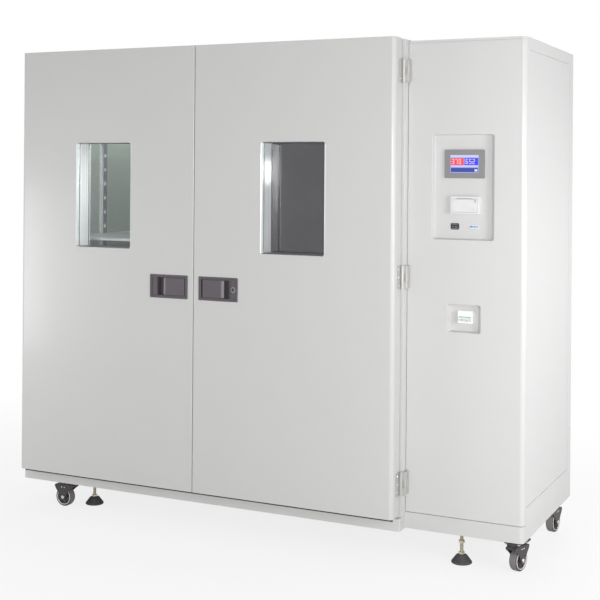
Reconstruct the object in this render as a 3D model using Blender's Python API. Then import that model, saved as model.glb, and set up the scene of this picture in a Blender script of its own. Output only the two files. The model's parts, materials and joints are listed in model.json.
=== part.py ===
"""Refrigerated incubator: an insulated two-door chamber with a machine column at its side.

Metres, +Z up. The origin is on the floor, under the middle of the whole footprint. The doors
face -Y and the machine column stands at +X. The cabinet rests on four castors and four feet.
"""
import bpy
import bmesh
from math import cos, pi, radians, sin, sqrt
from mathutils import Matrix, Vector

# Clearances and sheet thicknesses
SEAT = 0.0003
RUNNING = 0.0004
SHEET = 0.002
LINER_SHEET = 0.0015
PAST = 0.010

# Doors
DOOR_WIDTH = 0.855
DOOR_OVER_TOP = 0.003
DOOR_OVER_FOOT = 0.0057
DOOR_THICK = 0.068
DOOR_SEAM = 0.004
DOOR_SIDE_INSET = 0.011
DOOR_EDGE_RADIUS = 0.017
DOOR_SEAM_RADIUS = 0.004
PLUG_DEPTH = 0.030
PLUG_GAP = 0.005
PLUG_EDGE = 0.008
SEAL_GAP = 0.004
SEAL_INSET = 0.012
SEAL_WIDTH = 0.016

# Chamber
CASE_DEPTH = 0.768
CASE_TOP = 1.950
CASE_RETURN = 0.045
WALL = 0.090
POST_WIDTH = 0.070
POST_DEPTH = 0.040

# Base and plinth
BASE_BOTTOM = 0.115
BEAM_HEIGHT = 0.046
BEAM_PROUD = 0.025
PLINTH_HEIGHT = 0.060

# Machine column
COLUMN_WIDTH = 0.4515
COLUMN_TOP = 1.945
COLUMN_SET_BACK = 0.035
COLUMN_GAP = 0.0005
COLUMN_EDGE_RADIUS = 0.017
PANEL_RETURN = 0.030
PANEL_FOOT_GAP = 0.0025
CAP_LIP = 0.009
SIDE_WALL = 0.004
SIDE_PANEL_FRONT = 0.043
SIDE_PANEL_REAR = 0.060
SIDE_PANEL_LOW = 0.065
SIDE_PANEL_HIGH = 0.048
SIDE_PANEL_GROOVE = 0.0025
SIDE_PANEL_LEDGE = 0.020
LOUVRES = 10
LOUVRE_WIDTH = 0.300
LOUVRE_HEIGHT = 0.010
LOUVRE_PITCH = 0.030
LOUVRE_LOW = 0.055

# Windows
WINDOW_WIDTH = 0.275
WINDOW_HEIGHT = 0.440
WINDOW_BOTTOM = 1.128
WINDOW_FROM_SEAM = 0.300
WINDOW_CORNER = 0.010
SLEEVE_WALL = 0.003
SLEEVE_FLANGE = 0.012
PANE_THICK = 0.005
PANE_FRONT_DEPTH = 0.014
PANE_REAR_DEPTH = 0.088

# Flush latches, measured outwards from the seam
LATCH_FROM_SEAM = 0.025
LATCH_WIDTH = 0.178
LATCH_HEIGHT = 0.095
LATCH_CENTRE_Z = 0.984
BEZEL_PROUD = 0.0025
BEZEL_RIM = 0.011
CUP_DEPTH = 0.030
CUP_WALL = 0.002
WELL_START = 0.015
WELL_END = 0.142
KEY_PLATE_DEPTH = 0.003
PADDLE_BACK = 0.0005
PADDLE_BARREL = 0.006
PADDLE_THICK = 0.007
PADDLE_END = 0.115
PADDLE_NOSE = 0.011
PADDLE_SIDE_GAP = 0.0015
PADDLE_PIN_RADIUS = 0.003
LOCK_RADIUS = 0.008
LOCK_FROM_SEAM = 0.157
LOCK_LENGTH = 0.016
LOCK_PROUD = 0.002

# Door hinges
HINGE_HEIGHT = 0.088
HINGE_FROM_END = 0.123
HINGE_AXIS_OUT = 0.0085
HINGE_AXIS_BACK = 0.064
KNUCKLE_RADIUS = 0.0063
KNUCKLE_MIDDLE = 0.028
PIN_RADIUS = 0.003
LEAF_THICK = 0.003
LEAF_WIDTH = 0.027
HINGE_BLOCK = 0.013
HINGE_BLOCK_DEPTH = 0.032

# Shelving, from the chamber floor
SHELF_HEIGHTS = (0.300, 0.600, 0.900)
SHELF_THICK = 0.010
SHELF_FRONT_GAP = 0.058
SHELF_REAR_GAP = 0.060
SHELF_RIM = 0.020
SHELF_BARS = 18
SHELF_BAR = 0.012
UPRIGHT_WIDTH = 0.030
UPRIGHT_DEPTH = 0.010
UPRIGHT_FOOT = 0.060
UPRIGHT_HEAD = 0.0687
UPRIGHT_BLANK = 0.150
UPRIGHT_FROM_FRONT = 0.128
UPRIGHT_PITCH = 0.288
UPRIGHT_SLOT_PITCH = 0.065
UPRIGHT_SLOT_WIDTH = 0.014
UPRIGHT_SLOT_HEIGHT = 0.030
TIE_DEPTH = 0.003
TIE_HEIGHT = 0.018
CLIP_REACH = 0.016
CLIP_HEIGHT = 0.008

# Air duct and circulation fan
DUCT_DEPTH = 0.090
DUCT_FRONT = 0.060
DUCT_REAR = 0.040
DUCT_LOW = 0.050
DUCT_HIGH = 0.050
FAN_BELOW_CEILING = 0.460
FAN_RADIUS = 0.085
FAN_HUB = 0.022
FAN_HUB_DEPTH = 0.022
FAN_BLADES = 6
FAN_PITCH = radians(28.0)
GRILLE_SLOTS = 9
GRILLE_SLOT = 0.010
AIR_SLOTS = 5
AIR_SLOT_PITCH = 0.050
AIR_SLOT_LENGTH = 0.240
MOTOR_RADIUS = 0.045
MOTOR_LENGTH = 0.038
SHAFT_RADIUS = 0.005

# Control recess and its instruments
RECESS_OFFSET = -0.010
RECESS_CORNER = 0.009
RECESS_WIDTH = 0.238
RECESS_BOTTOM = 1.203
RECESS_HEIGHT = 0.389
RECESS_DEPTH = 0.022
RECESS_SLOPE = 0.017
SCREEN_WIDTH = 0.154
SCREEN_HEIGHT = 0.1055
SCREEN_Z = 1.4835
SCREEN_PROUD = 0.007
DISPLAY_WIDTH = 0.109
DISPLAY_HEIGHT = 0.0665
DISPLAY_DEPTH = 0.0018
GLASS_THICK = 0.0010
PRINTER_X = 0.004
PRINTER_WIDTH = 0.111
PRINTER_HEIGHT = 0.065
PRINTER_Z = 1.3315
PRINTER_PROUD = 0.014
LID_WIDTH = 0.098
LID_HEIGHT = 0.049
LID_THICK = 0.006
LID_PROUD = 0.0015
LID_GAP = 0.0005
PAPER_SLOT_WIDTH = 0.062
PAPER_SLOT_HEIGHT = 0.002
SWITCH_X = -0.0365
SWITCH_Z = 1.252
SWITCH_WIDTH = 0.032
SWITCH_HEIGHT = 0.023
SWITCH_PROUD = 0.003
SWITCH_RIM = 0.003
ROCKER_PROUD = 0.0055
ROCKER_PIVOT = 0.0020
ROCKER_TRAVEL = radians(12.0)
PORT_X = 0.040
PORT_WIDTH = 0.031
PORT_HEIGHT = 0.0125
PORT_PROUD = 0.006

# Breaker recess
BREAKER_RECESS_OFFSET = -0.0035
BREAKER_RECESS_Z = 0.9135
BREAKER_RECESS_WIDTH = 0.129
BREAKER_RECESS_HEIGHT = 0.103
BREAKER_RECESS_DEPTH = 0.022
BREAKER_RECESS_SLOPE = 0.016
BREAKER_X = 0.003
BREAKER_RISE = 0.0055
BREAKER_WIDTH = 0.054
BREAKER_HEIGHT = 0.045
BREAKER_PROUD = 0.0165
BREAKER_SLOT_WIDTH = 0.048
BREAKER_SLOT_HEIGHT = 0.018
BREAKER_SLOT_DEPTH = 0.010
TOGGLE_DROP = 0.006
TOGGLE_DRUM = 0.007
TOGGLE_WIDTH = 0.011
TOGGLE_REACH = 0.014
TOGGLE_THICK = 0.005
TOGGLE_REST = radians(28.0)
POLES = 3
POLE_PITCH = 0.016

# Refrigeration set in the column
COMPRESSOR_RADIUS = 0.080
COMPRESSOR_HEIGHT = 0.240
TRAY_THICK = 0.006
COMPRESSOR_FROM_BACK = 0.260
CONDENSER_WIDTH = 0.320
CONDENSER_HEIGHT = 0.340
CONDENSER_DEPTH = 0.050
CONDENSER_FROM_BACK = 0.012
CONDENSER_FINS = 8
FIN_GROOVE = 0.012

# Castors
WHEEL_RADIUS = 0.041
WHEEL_WIDTH = 0.030
WHEEL_EDGE = 0.006
HUB_RADIUS = 0.027
HUB_RECESS = 0.003
HUB_BOSS_RADIUS = 0.011
HUB_BOSS_WIDTH = 0.034
AXLE_RADIUS = 0.005
CASTOR_TRAIL = 0.028
FORK_GAP = 0.036
FORK_PLATE = 0.003
FORK_CROWN = 0.094
FORK_SLOT_TOP = 0.086
HOOD_REAR = 0.072
HOOD_FRONT = 0.024
FORK_EYE = 0.012
PLATE_SIZE = 0.060
PLATE_THICK = 0.004
SWIVEL_RADIUS = 0.026
PEDAL_HINGE_BACK = 0.067
PEDAL_REACH = 0.031
PEDAL_WIDTH = 0.020
PEDAL_THICK = 0.006
CASTOR_SIDE = 0.199
CASTOR_FRONT = 0.063
CASTOR_COLUMN_SIDE = 0.042
CASTOR_COLUMN_FRONT = 0.031
CASTOR_REAR = 0.166

# Levelling feet
PAD_RADIUS = 0.039
PAD_RIM = 0.006
PAD_NECK = 0.017
PAD_HEIGHT = 0.032
STEM_RADIUS = 0.0065
STEM_IN_BASE = 0.022
FOOT_TRAVEL = 0.012
NUT_FLATS = 0.022
NUT_HEIGHT = 0.009
NUT_TOP = 0.084
BUSH_RADIUS = 0.0105
BUSH_LENGTH = 0.014
FOOT_SIDE = 0.266
FOOT_FRONT = 0.143
FOOT_REAR = 0.246
FOOT_COLUMN_SIDE = 0.205
FOOT_COLUMN_FRONT = 0.051
FOOT_COLUMN_REAR = 0.188

# Overall places worked out from the sizes above
CASE_WIDTH = 2 * (DOOR_WIDTH + DOOR_SIDE_INSET) + DOOR_SEAM
WIDTH = HINGE_BLOCK + CASE_WIDTH + COLUMN_GAP + COLUMN_WIDTH
DEPTH = BEZEL_PROUD + DOOR_THICK + SEAL_GAP + CASE_DEPTH
CASE_LEFT = HINGE_BLOCK - WIDTH / 2
CASE_RIGHT = CASE_LEFT + CASE_WIDTH
COLUMN_LEFT = CASE_RIGHT + COLUMN_GAP
COLUMN_RIGHT = COLUMN_LEFT + COLUMN_WIDTH
COLUMN_X = (COLUMN_LEFT + COLUMN_RIGHT) / 2
SEAM_X = (CASE_LEFT + CASE_RIGHT) / 2
DOOR_FRONT = BEZEL_PROUD - DEPTH / 2
DOOR_REAR = DOOR_FRONT + DOOR_THICK
DOOR_TOP = CASE_TOP + DOOR_OVER_TOP
CASE_FRONT = DOOR_REAR + SEAL_GAP
BACK = DEPTH / 2
COLUMN_FRONT = CASE_FRONT + COLUMN_SET_BACK
BEAM_FRONT = CASE_FRONT - BEAM_PROUD
CASE_BOTTOM = BASE_BOTTOM + BEAM_HEIGHT + SEAT
DOOR_BOTTOM = CASE_BOTTOM + DOOR_OVER_FOOT
PLINTH_TOP = BASE_BOTTOM + PLINTH_HEIGHT
ROOM_LEFT = CASE_LEFT + WALL
ROOM_RIGHT = CASE_RIGHT - WALL
ROOM_FLOOR = CASE_BOTTOM + WALL
ROOM_CEILING = CASE_TOP - WALL
ROOM_BACK = BACK - WALL
PANEL_BOTTOM = PLINTH_TOP + PANEL_FOOT_GAP
PANEL_TOP = COLUMN_TOP - CAP_LIP - SEAT
DOOR_START = DOOR_SEAM / 2
DOOR_END = DOOR_START + DOOR_WIDTH
DUCT_FACE = ROOM_RIGHT - DUCT_DEPTH
DUCT_Y = CASE_FRONT + UPRIGHT_FROM_FRONT + UPRIGHT_PITCH / 2
FAN_Z = ROOM_CEILING - FAN_BELOW_CEILING
UPRIGHT_HEIGHT = ROOM_CEILING - UPRIGHT_HEAD - ROOM_FLOOR - UPRIGHT_FOOT
UPRIGHT_SLOTS = int((UPRIGHT_HEIGHT - UPRIGHT_BLANK) / UPRIGHT_SLOT_PITCH)
RECESS_X = COLUMN_X + RECESS_OFFSET
RECESS_FLOOR = COLUMN_FRONT + RECESS_DEPTH
BREAKER_RECESS_X = COLUMN_X + BREAKER_RECESS_OFFSET
BREAKER_FLOOR = COLUMN_FRONT + BREAKER_RECESS_DEPTH
HINGE_ZS = [DOOR_BOTTOM + HINGE_FROM_END, (DOOR_BOTTOM + DOOR_TOP) / 2, DOOR_TOP - HINGE_FROM_END]

# Finishes: colour, roughness, metallic
FINISHES = {
    "white_paint": ((0.72, 0.72, 0.71), 0.38, 0.0),
    "stainless": ((0.62, 0.63, 0.63), 0.28, 1.0),
    "faced_foam": ((0.62, 0.63, 0.63), 0.28, 1.0),
    "foam": ((0.86, 0.80, 0.58), 0.9, 0.0),
    "seal_rubber": ((0.16, 0.16, 0.17), 0.7, 0.0),
    "window_glass": ((0.80, 0.90, 0.86), 0.05, 0.0),
    "latch_black": ((0.055, 0.050, 0.055), 0.42, 0.0),
    "chrome": ((0.72, 0.72, 0.74), 0.14, 1.0),
    "screen_grey": ((0.21, 0.21, 0.22), 0.5, 0.0),
    "display_glass": ((0.03, 0.04, 0.14), 0.08, 0.0),
    "printer_white": ((0.80, 0.80, 0.80), 0.45, 0.0),
    "switch_black": ((0.025, 0.022, 0.028), 0.35, 0.0),
    "port_blue": ((0.12, 0.34, 0.62), 0.45, 0.0),
    "breaker_white": ((0.85, 0.85, 0.84), 0.4, 0.0),
    "toggle_grey": ((0.45, 0.48, 0.45), 0.4, 0.0),
    "castor_black": ((0.030, 0.026, 0.030), 0.45, 0.0),
    "tread_grey": ((0.23, 0.21, 0.20), 0.6, 0.0),
    "pad_rubber": ((0.045, 0.042, 0.046), 0.7, 0.0),
    "compressor_black": ((0.03, 0.03, 0.03), 0.4, 0.0),
    "motor_grey": ((0.30, 0.31, 0.32), 0.5, 0.6),
}


# Shapes

def span(x0, x1, y0, y1, z0, z1):
    """A box as its low and high corners."""
    return (min(x0, x1), min(y0, y1), min(z0, z1)), (max(x0, x1), max(y0, y1), max(z0, z1))


def carve(solids, voids=()):
    """A closed mesh of square boxes, less the boxes in voids."""
    marks = [sorted({round(box[end][axis], 7) for box in (*solids, *voids) for end in (0, 1)})
             for axis in range(3)]

    def inside(box, point):
        return all(box[0][axis] < point[axis] < box[1][axis] for axis in range(3))

    cells = set()
    for i in range(len(marks[0]) - 1):
        for j in range(len(marks[1]) - 1):
            for k in range(len(marks[2]) - 1):
                middle = [(marks[axis][n] + marks[axis][n + 1]) / 2 for axis, n in enumerate((i, j, k))]
                held = any(inside(box, middle) for box in solids)
                if held and not any(inside(box, middle) for box in voids):
                    cells.add((i, j, k))
    bm = bmesh.new()
    corners = {}

    def corner(place):
        if place not in corners:
            corners[place] = bm.verts.new([marks[axis][place[axis]] for axis in range(3)])
        return corners[place]

    for cell in sorted(cells):
        for axis in range(3):
            across, along = (axis + 1) % 3, (axis + 2) % 3
            for side in (0, 1):
                beside = list(cell)
                beside[axis] += 2 * side - 1
                if tuple(beside) in cells:
                    continue
                quad = []
                for step_a, step_b in ((0, 0), (1, 0), (1, 1), (0, 1)):
                    place = list(cell)
                    place[axis] += side
                    place[across] += step_a
                    place[along] += step_b
                    quad.append(corner(tuple(place)))
                bm.faces.new(quad if side else quad[::-1])
    bmesh.ops.dissolve_limit(bm, angle_limit=radians(0.5), verts=bm.verts, edges=bm.edges)
    return bm


def arc(centre, radius, start, end, steps):
    """Points on an arc from the start angle to the end angle, in degrees."""
    angles = [radians(start + (end - start) * n / steps) for n in range(steps + 1)]
    return [(centre[0] + radius * cos(a), centre[1] + radius * sin(a)) for a in angles]


def rounded(a0, a1, b0, b1, radii, steps=4):
    """A rectangle outline; radii are for the corners low-low, high-low, high-high and low-high."""
    points = []
    spots = ((a0, b0, 1, 1, 180), (a1, b0, -1, 1, 270), (a1, b1, -1, -1, 0), (a0, b1, 1, -1, 90))
    for (a, b, toward_a, toward_b, start), radius in zip(spots, radii):
        if radius <= 0:
            points.append((a, b))
        else:
            centre = (a + toward_a * radius, b + toward_b * radius)
            points += arc(centre, radius, start, start + 90, steps)
    return points


def spot(axis, a, b, along):
    """A point of an outline drawn across an axis: X takes (y, z), Y takes (x, z), Z takes (x, y)."""
    return {"X": (along, a, b), "Y": (a, along, b), "Z": (a, b, along)}[axis]


def facing_out(bm):
    """Turns the faces of one closed body outwards."""
    bmesh.ops.recalc_face_normals(bm, faces=bm.faces)
    if bm.calc_volume(signed=True) < 0:
        bmesh.ops.reverse_faces(bm, faces=bm.faces)
    return bm


def prism(outline, axis, low, high):
    """An outline pushed along an axis from low to high."""
    bm = bmesh.new()
    rings = [[bm.verts.new(spot(axis, a, b, along)) for a, b in outline] for along in (low, high)]
    count = len(outline)
    bm.faces.new(rings[0][::-1])
    bm.faces.new(rings[1])
    for n in range(count):
        after = (n + 1) % count
        bm.faces.new((rings[0][n], rings[0][after], rings[1][after], rings[1][n]))
    return facing_out(bm)


def loft(loops, closed):
    """Skins loops of equal count; an open stack gets end caps, a closed one joins up as a ring."""
    bm = bmesh.new()
    rings = [[bm.verts.new(point) for point in loop] for loop in loops]
    count = len(rings[0])
    pairs = list(zip(rings, rings[1:]))
    if closed:
        pairs.append((rings[-1], rings[0]))
    else:
        bm.faces.new(rings[0][::-1])
        bm.faces.new(rings[-1])
    for low, high in pairs:
        for n in range(count):
            after = (n + 1) % count
            bm.faces.new((low[n], low[after], high[after], high[n]))
    return facing_out(bm)


def frame_ring(a0, a1, b0, b1, radius, section, steps=4):
    """A rectangular ring across Y; section lists (distance outwards from the aperture, y)."""
    loops = []
    for out, y in section:
        outline = rounded(a0 - out, a1 + out, b0 - out, b1 + out, [radius + out] * 4, steps)
        loops.append([(a, y, b) for a, b in outline])
    return loft(loops, closed=True)


def turned(profile, segments, bored=False):
    """A solid of revolution about Z; a bored one has a closed profile clear of the axis."""
    around = [2 * pi * n / segments for n in range(segments)]
    loops = [[(radius * cos(a), radius * sin(a), z) for a in around] for radius, z in profile]
    return loft(loops, closed=bored)


def rod(radius, start, end, segments=16):
    """A plain round bar between two points."""
    start, end = Vector(start), Vector(end)
    bm = turned([(radius, 0), (radius, (end - start).length)], segments)
    turn = (end - start).to_track_quat("Z", "Y").to_matrix().to_4x4()
    bm.transform(Matrix.Translation(start) @ turn)
    return bm


def gather(meshes):
    """Copies several meshes into one, as separate solids."""
    bm = bmesh.new()
    for mesh in meshes:
        copies = {vert: bm.verts.new(vert.co) for vert in mesh.verts}
        for face in mesh.faces:
            bm.faces.new([copies[vert] for vert in face.verts])
        mesh.free()
    return bm


def tapered(width, height, slope, x, z, y_front, y_back, radius, grow=0.0):
    """A dished block whose back face is smaller than its front face by the slope all round."""
    loops = []
    for y, inset in ((y_front, 0.0), (y_back, slope)):
        half_w = width / 2 - inset + grow
        half_h = height / 2 - inset + grow
        outline = rounded(x - half_w, x + half_w, z - half_h, z + half_h, [radius + grow] * 4, 3)
        loops.append([(a, y, b) for a, b in outline])
    return loft(loops, closed=False)


def soften(bm, chosen, radius, segments=3):
    """Rounds the edges that the test picks by their two end points."""
    edges = [edge for edge in bm.edges if chosen(edge.verts[0].co, edge.verts[1].co)]
    bmesh.ops.bevel(bm, geom=edges, offset=radius, offset_type="OFFSET", segments=segments,
                    profile=0.5, affect="EDGES", clamp_overlap=True)
    return bm


def near(value, target):
    return abs(value - target) < 1e-5


def upright_edge(x, y):
    """Picks the vertical edges that stand at one place."""
    return lambda p, q: all(near(v.x, x) and near(v.y, y) for v in (p, q))


# Objects

def finish(name):
    """The material of that name, made on first use."""
    material = bpy.data.materials.get(name)
    if material is None:
        colour, roughness, metallic = FINISHES[name]
        material = bpy.data.materials.new(name)
        material.use_nodes = True
        shader = material.node_tree.nodes["Principled BSDF"]
        shader.inputs["Base Color"].default_value = (*colour, 1.0)
        shader.inputs["Roughness"].default_value = roughness
        shader.inputs["Metallic"].default_value = metallic
    return material


def body(name, place, parent=None, turn=0.0):
    """An empty on a joint's axis, which carries the pieces that move with it."""
    empty = bpy.data.objects.new(name, None)
    bpy.context.scene.collection.objects.link(empty)
    empty.location = place
    empty.rotation_euler = (0.0, 0.0, turn)
    if parent is not None:
        empty.parent = parent
    return empty


def mirror(bm, side):
    """Maps (distance from the seam, y, z) to the left door, -1, or the right door, +1."""
    if side:
        bm.transform(Matrix.Translation((SEAM_X, 0, 0)) @ Matrix.Diagonal((side, 1, 1, 1)))
    if side < 0:
        bmesh.ops.reverse_faces(bm, faces=bm.faces)


def add(name, bm, finish_name, carrier=None, side=0, local=False):
    """Makes a named piece; a local one is drawn in its carrier's own frame."""
    mirror(bm, side)
    mesh = bpy.data.meshes.new(name)
    bm.to_mesh(mesh)
    bm.free()
    mesh.shade_smooth()
    mesh.set_sharp_from_angle(angle=radians(32.0))
    piece = bpy.data.objects.new(name, mesh)
    bpy.context.scene.collection.objects.link(piece)
    mesh.materials.append(finish(finish_name))
    if carrier is not None:
        piece.parent = carrier
        if not local:
            piece.location = -carrier.location
    return piece


def shape(piece, operation, bm, side=0):
    """Cuts the mesh from a piece, or joins it on, with a Boolean modifier."""
    mirror(bm, side)
    label = piece.name + "_" + operation.lower()
    mesh = bpy.data.meshes.new(label)
    bm.to_mesh(mesh)
    bm.free()
    tool = bpy.data.objects.new(label, mesh)
    bpy.context.scene.collection.objects.link(tool)
    tool.parent = piece
    tool.hide_render = True
    tool.display_type = "WIRE"
    modifier = piece.modifiers.new(operation.title(), "BOOLEAN")
    modifier.operation = operation
    modifier.solver = "EXACT"
    modifier.object = tool
    return piece


# Base

def castor_spots():
    """Name, swivel place and heading of the trailing wheel for each castor."""
    left = CASE_LEFT + CASTOR_SIDE
    right = COLUMN_RIGHT - CASTOR_COLUMN_SIDE
    rear = BACK - CASTOR_REAR
    return (("front_left", left, BEAM_FRONT + CASTOR_FRONT, radians(180.0)),
            ("front_right", right, COLUMN_FRONT + CASTOR_COLUMN_FRONT, radians(73.5)),
            ("rear_left", left, rear, radians(120.0)),
            ("rear_right", right, rear, radians(80.0)))


def foot_spots():
    """Name and place of each levelling foot."""
    left = CASE_LEFT + FOOT_SIDE
    right = COLUMN_LEFT + FOOT_COLUMN_SIDE
    return (("front_left", left, BEAM_FRONT + FOOT_FRONT),
            ("front_right", right, COLUMN_FRONT + FOOT_COLUMN_FRONT),
            ("rear_left", left, BACK - FOOT_REAR),
            ("rear_right", right, BACK - FOOT_COLUMN_REAR))


def castor_plates():
    """The plates under the base that the castors are bolted through."""
    half = PLATE_SIZE / 2
    plates = []
    for _, x, y, _ in castor_spots():
        outline = rounded(x - half, x + half, y - half, y + half, [0.008] * 4, 2)
        plates.append(prism(outline, "Z", BASE_BOTTOM - PLATE_THICK, BASE_BOTTOM + PAST))
    return plates


def base_frame():
    """Underframe: chamber beam and column plinth, castor plates and the bushes of the feet."""
    chamber = span(CASE_LEFT, CASE_RIGHT, BEAM_FRONT, BACK, BASE_BOTTOM, BASE_BOTTOM + BEAM_HEIGHT)
    plinth = span(CASE_RIGHT, COLUMN_RIGHT, COLUMN_FRONT, BACK, BASE_BOTTOM, PLINTH_TOP)
    bm = carve([chamber, plinth])
    soften(bm, upright_edge(COLUMN_RIGHT, COLUMN_FRONT), COLUMN_EDGE_RADIUS, 5)
    soften(bm, upright_edge(CASE_LEFT, BEAM_FRONT), DOOR_SEAM_RADIUS)
    piece = add("base_frame", bm, "white_paint")
    bushes = [rod(BUSH_RADIUS, (x, y, BASE_BOTTOM - BUSH_LENGTH), (x, y, BASE_BOTTOM + PAST))
              for _, x, y in foot_spots()]
    shape(piece, "UNION", gather(bushes + castor_plates()))
    top = BASE_BOTTOM + STEM_IN_BASE + FOOT_TRAVEL + 0.003
    bores = [rod(STEM_RADIUS + RUNNING, (x, y, 0), (x, y, top)) for _, x, y in foot_spots()]
    shape(piece, "DIFFERENCE", gather(bores))


def castor(name, x, y, heading, braked):
    head_top = BASE_BOTTOM - PLATE_THICK - SEAT
    swivel = body(name + "_swivel", (x, y, 0), turn=heading)
    half = FORK_GAP / 2 + FORK_PLATE
    outline = arc((CASTOR_TRAIL, WHEEL_RADIUS), FORK_EYE, 200, 340, 8)
    outline += [(HOOD_REAR - 0.012, FORK_CROWN * 0.66), (HOOD_REAR, FORK_CROWN - 0.010)]
    outline += [(HOOD_REAR - 0.006, FORK_CROWN), (-HOOD_FRONT, FORK_CROWN)]
    outline += [(-HOOD_FRONT, FORK_SLOT_TOP - 0.004), (0.004, FORK_CROWN * 0.70)]
    fork = add(name + "_fork", prism(outline, "Y", -half, half), "castor_black", swivel, local=True)
    slot = span(-1.0, 1.0, -FORK_GAP / 2, FORK_GAP / 2, -1.0, FORK_SLOT_TOP)
    shape(fork, "DIFFERENCE", carve([slot]))
    head = turned([(SWIVEL_RADIUS - 0.004, FORK_CROWN - 0.004), (SWIVEL_RADIUS, FORK_CROWN + 0.004),
                   (SWIVEL_RADIUS, head_top)], 24)
    shape(fork, "UNION", head)
    bolt = half + 0.003
    axle = rod(AXLE_RADIUS, (CASTOR_TRAIL, -bolt, WHEEL_RADIUS), (CASTOR_TRAIL, bolt, WHEEL_RADIUS), 12)
    shape(fork, "UNION", axle)
    wheel_body = body(name + "_wheel_axle", (CASTOR_TRAIL, 0, WHEEL_RADIUS), swivel)
    add(name + "_wheel", castor_wheel(), "tread_grey", wheel_body, local=True)
    if braked:
        brake_pedal(name, swivel)


def castor_wheel():
    """The wheel about its own Y axle: rounded tread, dished hub and a boss bored for the axle."""
    bore = AXLE_RADIUS + RUNNING
    half, boss = WHEEL_WIDTH / 2, HUB_BOSS_WIDTH / 2
    tread = WHEEL_RADIUS - WHEEL_EDGE
    shoulder = [(tread + WHEEL_EDGE * sin(a), half - WHEEL_EDGE + WHEEL_EDGE * cos(a))
                for a in (0.0, pi / 4, pi / 2)]
    upper = [(bore, boss), (HUB_BOSS_RADIUS, boss), (HUB_BOSS_RADIUS, half - HUB_RECESS),
             (HUB_RADIUS, half - HUB_RECESS), (HUB_RADIUS, half), *shoulder]
    profile = upper + [(radius, -z) for radius, z in reversed(upper)]
    bm = turned(profile, 24, bored=True)
    bm.transform(Matrix.Rotation(pi / 2, 4, "X"))
    return bm


def brake_pedal(name, swivel):
    """A lever on the back of the hood that is pressed down to lock the wheel."""
    hinge = body(name + "_brake_hinge", (PEDAL_HINGE_BACK, 0, FORK_CROWN + PEDAL_THICK / 2 + 2 * SEAT), swivel)
    barrel = PEDAL_THICK / 2
    outline = arc((0, 0), barrel, 90, 270, 6)
    outline += [(PEDAL_REACH * 0.55, -barrel), (PEDAL_REACH, PEDAL_REACH * 0.12 - barrel)]
    outline += [(PEDAL_REACH + 0.002, PEDAL_REACH * 0.12), (PEDAL_REACH, PEDAL_REACH * 0.12 + barrel)]
    outline += [(PEDAL_REACH * 0.55, barrel)]
    add(name + "_brake_pedal", prism(outline, "Y", -PEDAL_WIDTH / 2, PEDAL_WIDTH / 2), "castor_black",
        hinge, local=True)


def levelling_foot(name, x, y):
    """Rubber pad, threaded stem and two hexagon nuts, which slide together as the stem screws."""
    slide = body(name + "_foot_slide", (x, y, 0))
    top = BASE_BOTTOM + STEM_IN_BASE
    waist = PAD_RADIUS * 0.62
    profile = [(PAD_RADIUS - 0.002, 0), (PAD_RADIUS, 0.003), (PAD_RADIUS, PAD_RIM),
               (waist, PAD_HEIGHT * 0.72), (PAD_NECK, PAD_HEIGHT), (STEM_RADIUS, PAD_HEIGHT),
               (STEM_RADIUS, top)]
    piece = add(name + "_foot", turned(profile, 24), "pad_rubber", slide, local=True)
    across = NUT_FLATS / sqrt(3.0)
    nuts = [prism(arc((0, 0), across, 0, 300, 5), "Z", low, low + NUT_HEIGHT)
            for low in (PAD_HEIGHT - 0.001, NUT_TOP - NUT_HEIGHT)]
    shape(piece, "UNION", gather(nuts))


# Insulated chamber

def outer_case():
    shell = span(CASE_LEFT, CASE_RIGHT, CASE_FRONT, BACK, CASE_BOTTOM, CASE_TOP)
    hollow = span(CASE_LEFT + SHEET, CASE_RIGHT - SHEET, CASE_FRONT + SHEET, BACK - SHEET,
                  CASE_BOTTOM + SHEET, CASE_TOP - SHEET)
    mouth = span(CASE_LEFT + CASE_RETURN, CASE_RIGHT - CASE_RETURN, CASE_FRONT - PAST, CASE_FRONT + PAST,
                 CASE_BOTTOM + CASE_RETURN, CASE_TOP - CASE_RETURN)
    bm = carve([shell], [hollow, mouth])
    for x in (CASE_LEFT, CASE_RIGHT):
        soften(bm, upright_edge(x, CASE_FRONT), SHEET * 0.8, 2)
    add("outer_case", bm, "white_paint")


def insulation():
    skin = SHEET + SEAT
    foam = span(CASE_LEFT + skin, CASE_RIGHT - skin, CASE_FRONT + skin, BACK - skin,
                CASE_BOTTOM + skin, CASE_TOP - skin)
    inner = LINER_SHEET + SEAT
    room = span(ROOM_LEFT - inner, ROOM_RIGHT + inner, CASE_FRONT - PAST, ROOM_BACK + inner,
                ROOM_FLOOR - inner, ROOM_CEILING + inner)
    add("insulation", carve([foam], [room]), "foam")


def inner_liner():
    """The stainless tub and its front flange."""
    front = CASE_FRONT + SHEET - LINER_SHEET
    edge = CASE_RETURN + SEAT
    flange = span(CASE_LEFT + edge, CASE_RIGHT - edge, front, front + LINER_SHEET,
                  CASE_BOTTOM + edge, CASE_TOP - edge)
    tub = span(ROOM_LEFT - LINER_SHEET, ROOM_RIGHT + LINER_SHEET, front, ROOM_BACK + LINER_SHEET,
               ROOM_FLOOR - LINER_SHEET, ROOM_CEILING + LINER_SHEET)
    room = span(ROOM_LEFT, ROOM_RIGHT, front - PAST, ROOM_BACK, ROOM_FLOOR, ROOM_CEILING)
    add("inner_liner", carve([flange, tub], [room]), "stainless")


def centre_post():
    """The upright between the doors that both seals close against."""
    half, face = POST_WIDTH / 2, CASE_FRONT
    outline = rounded(SEAM_X - half, SEAM_X + half, face, face + POST_DEPTH, [0.002, 0.002, 0.008, 0.008], 3)
    add("centre_post", prism(outline, "Z", ROOM_FLOOR + SEAT, ROOM_CEILING - SEAT), "stainless")


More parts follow.
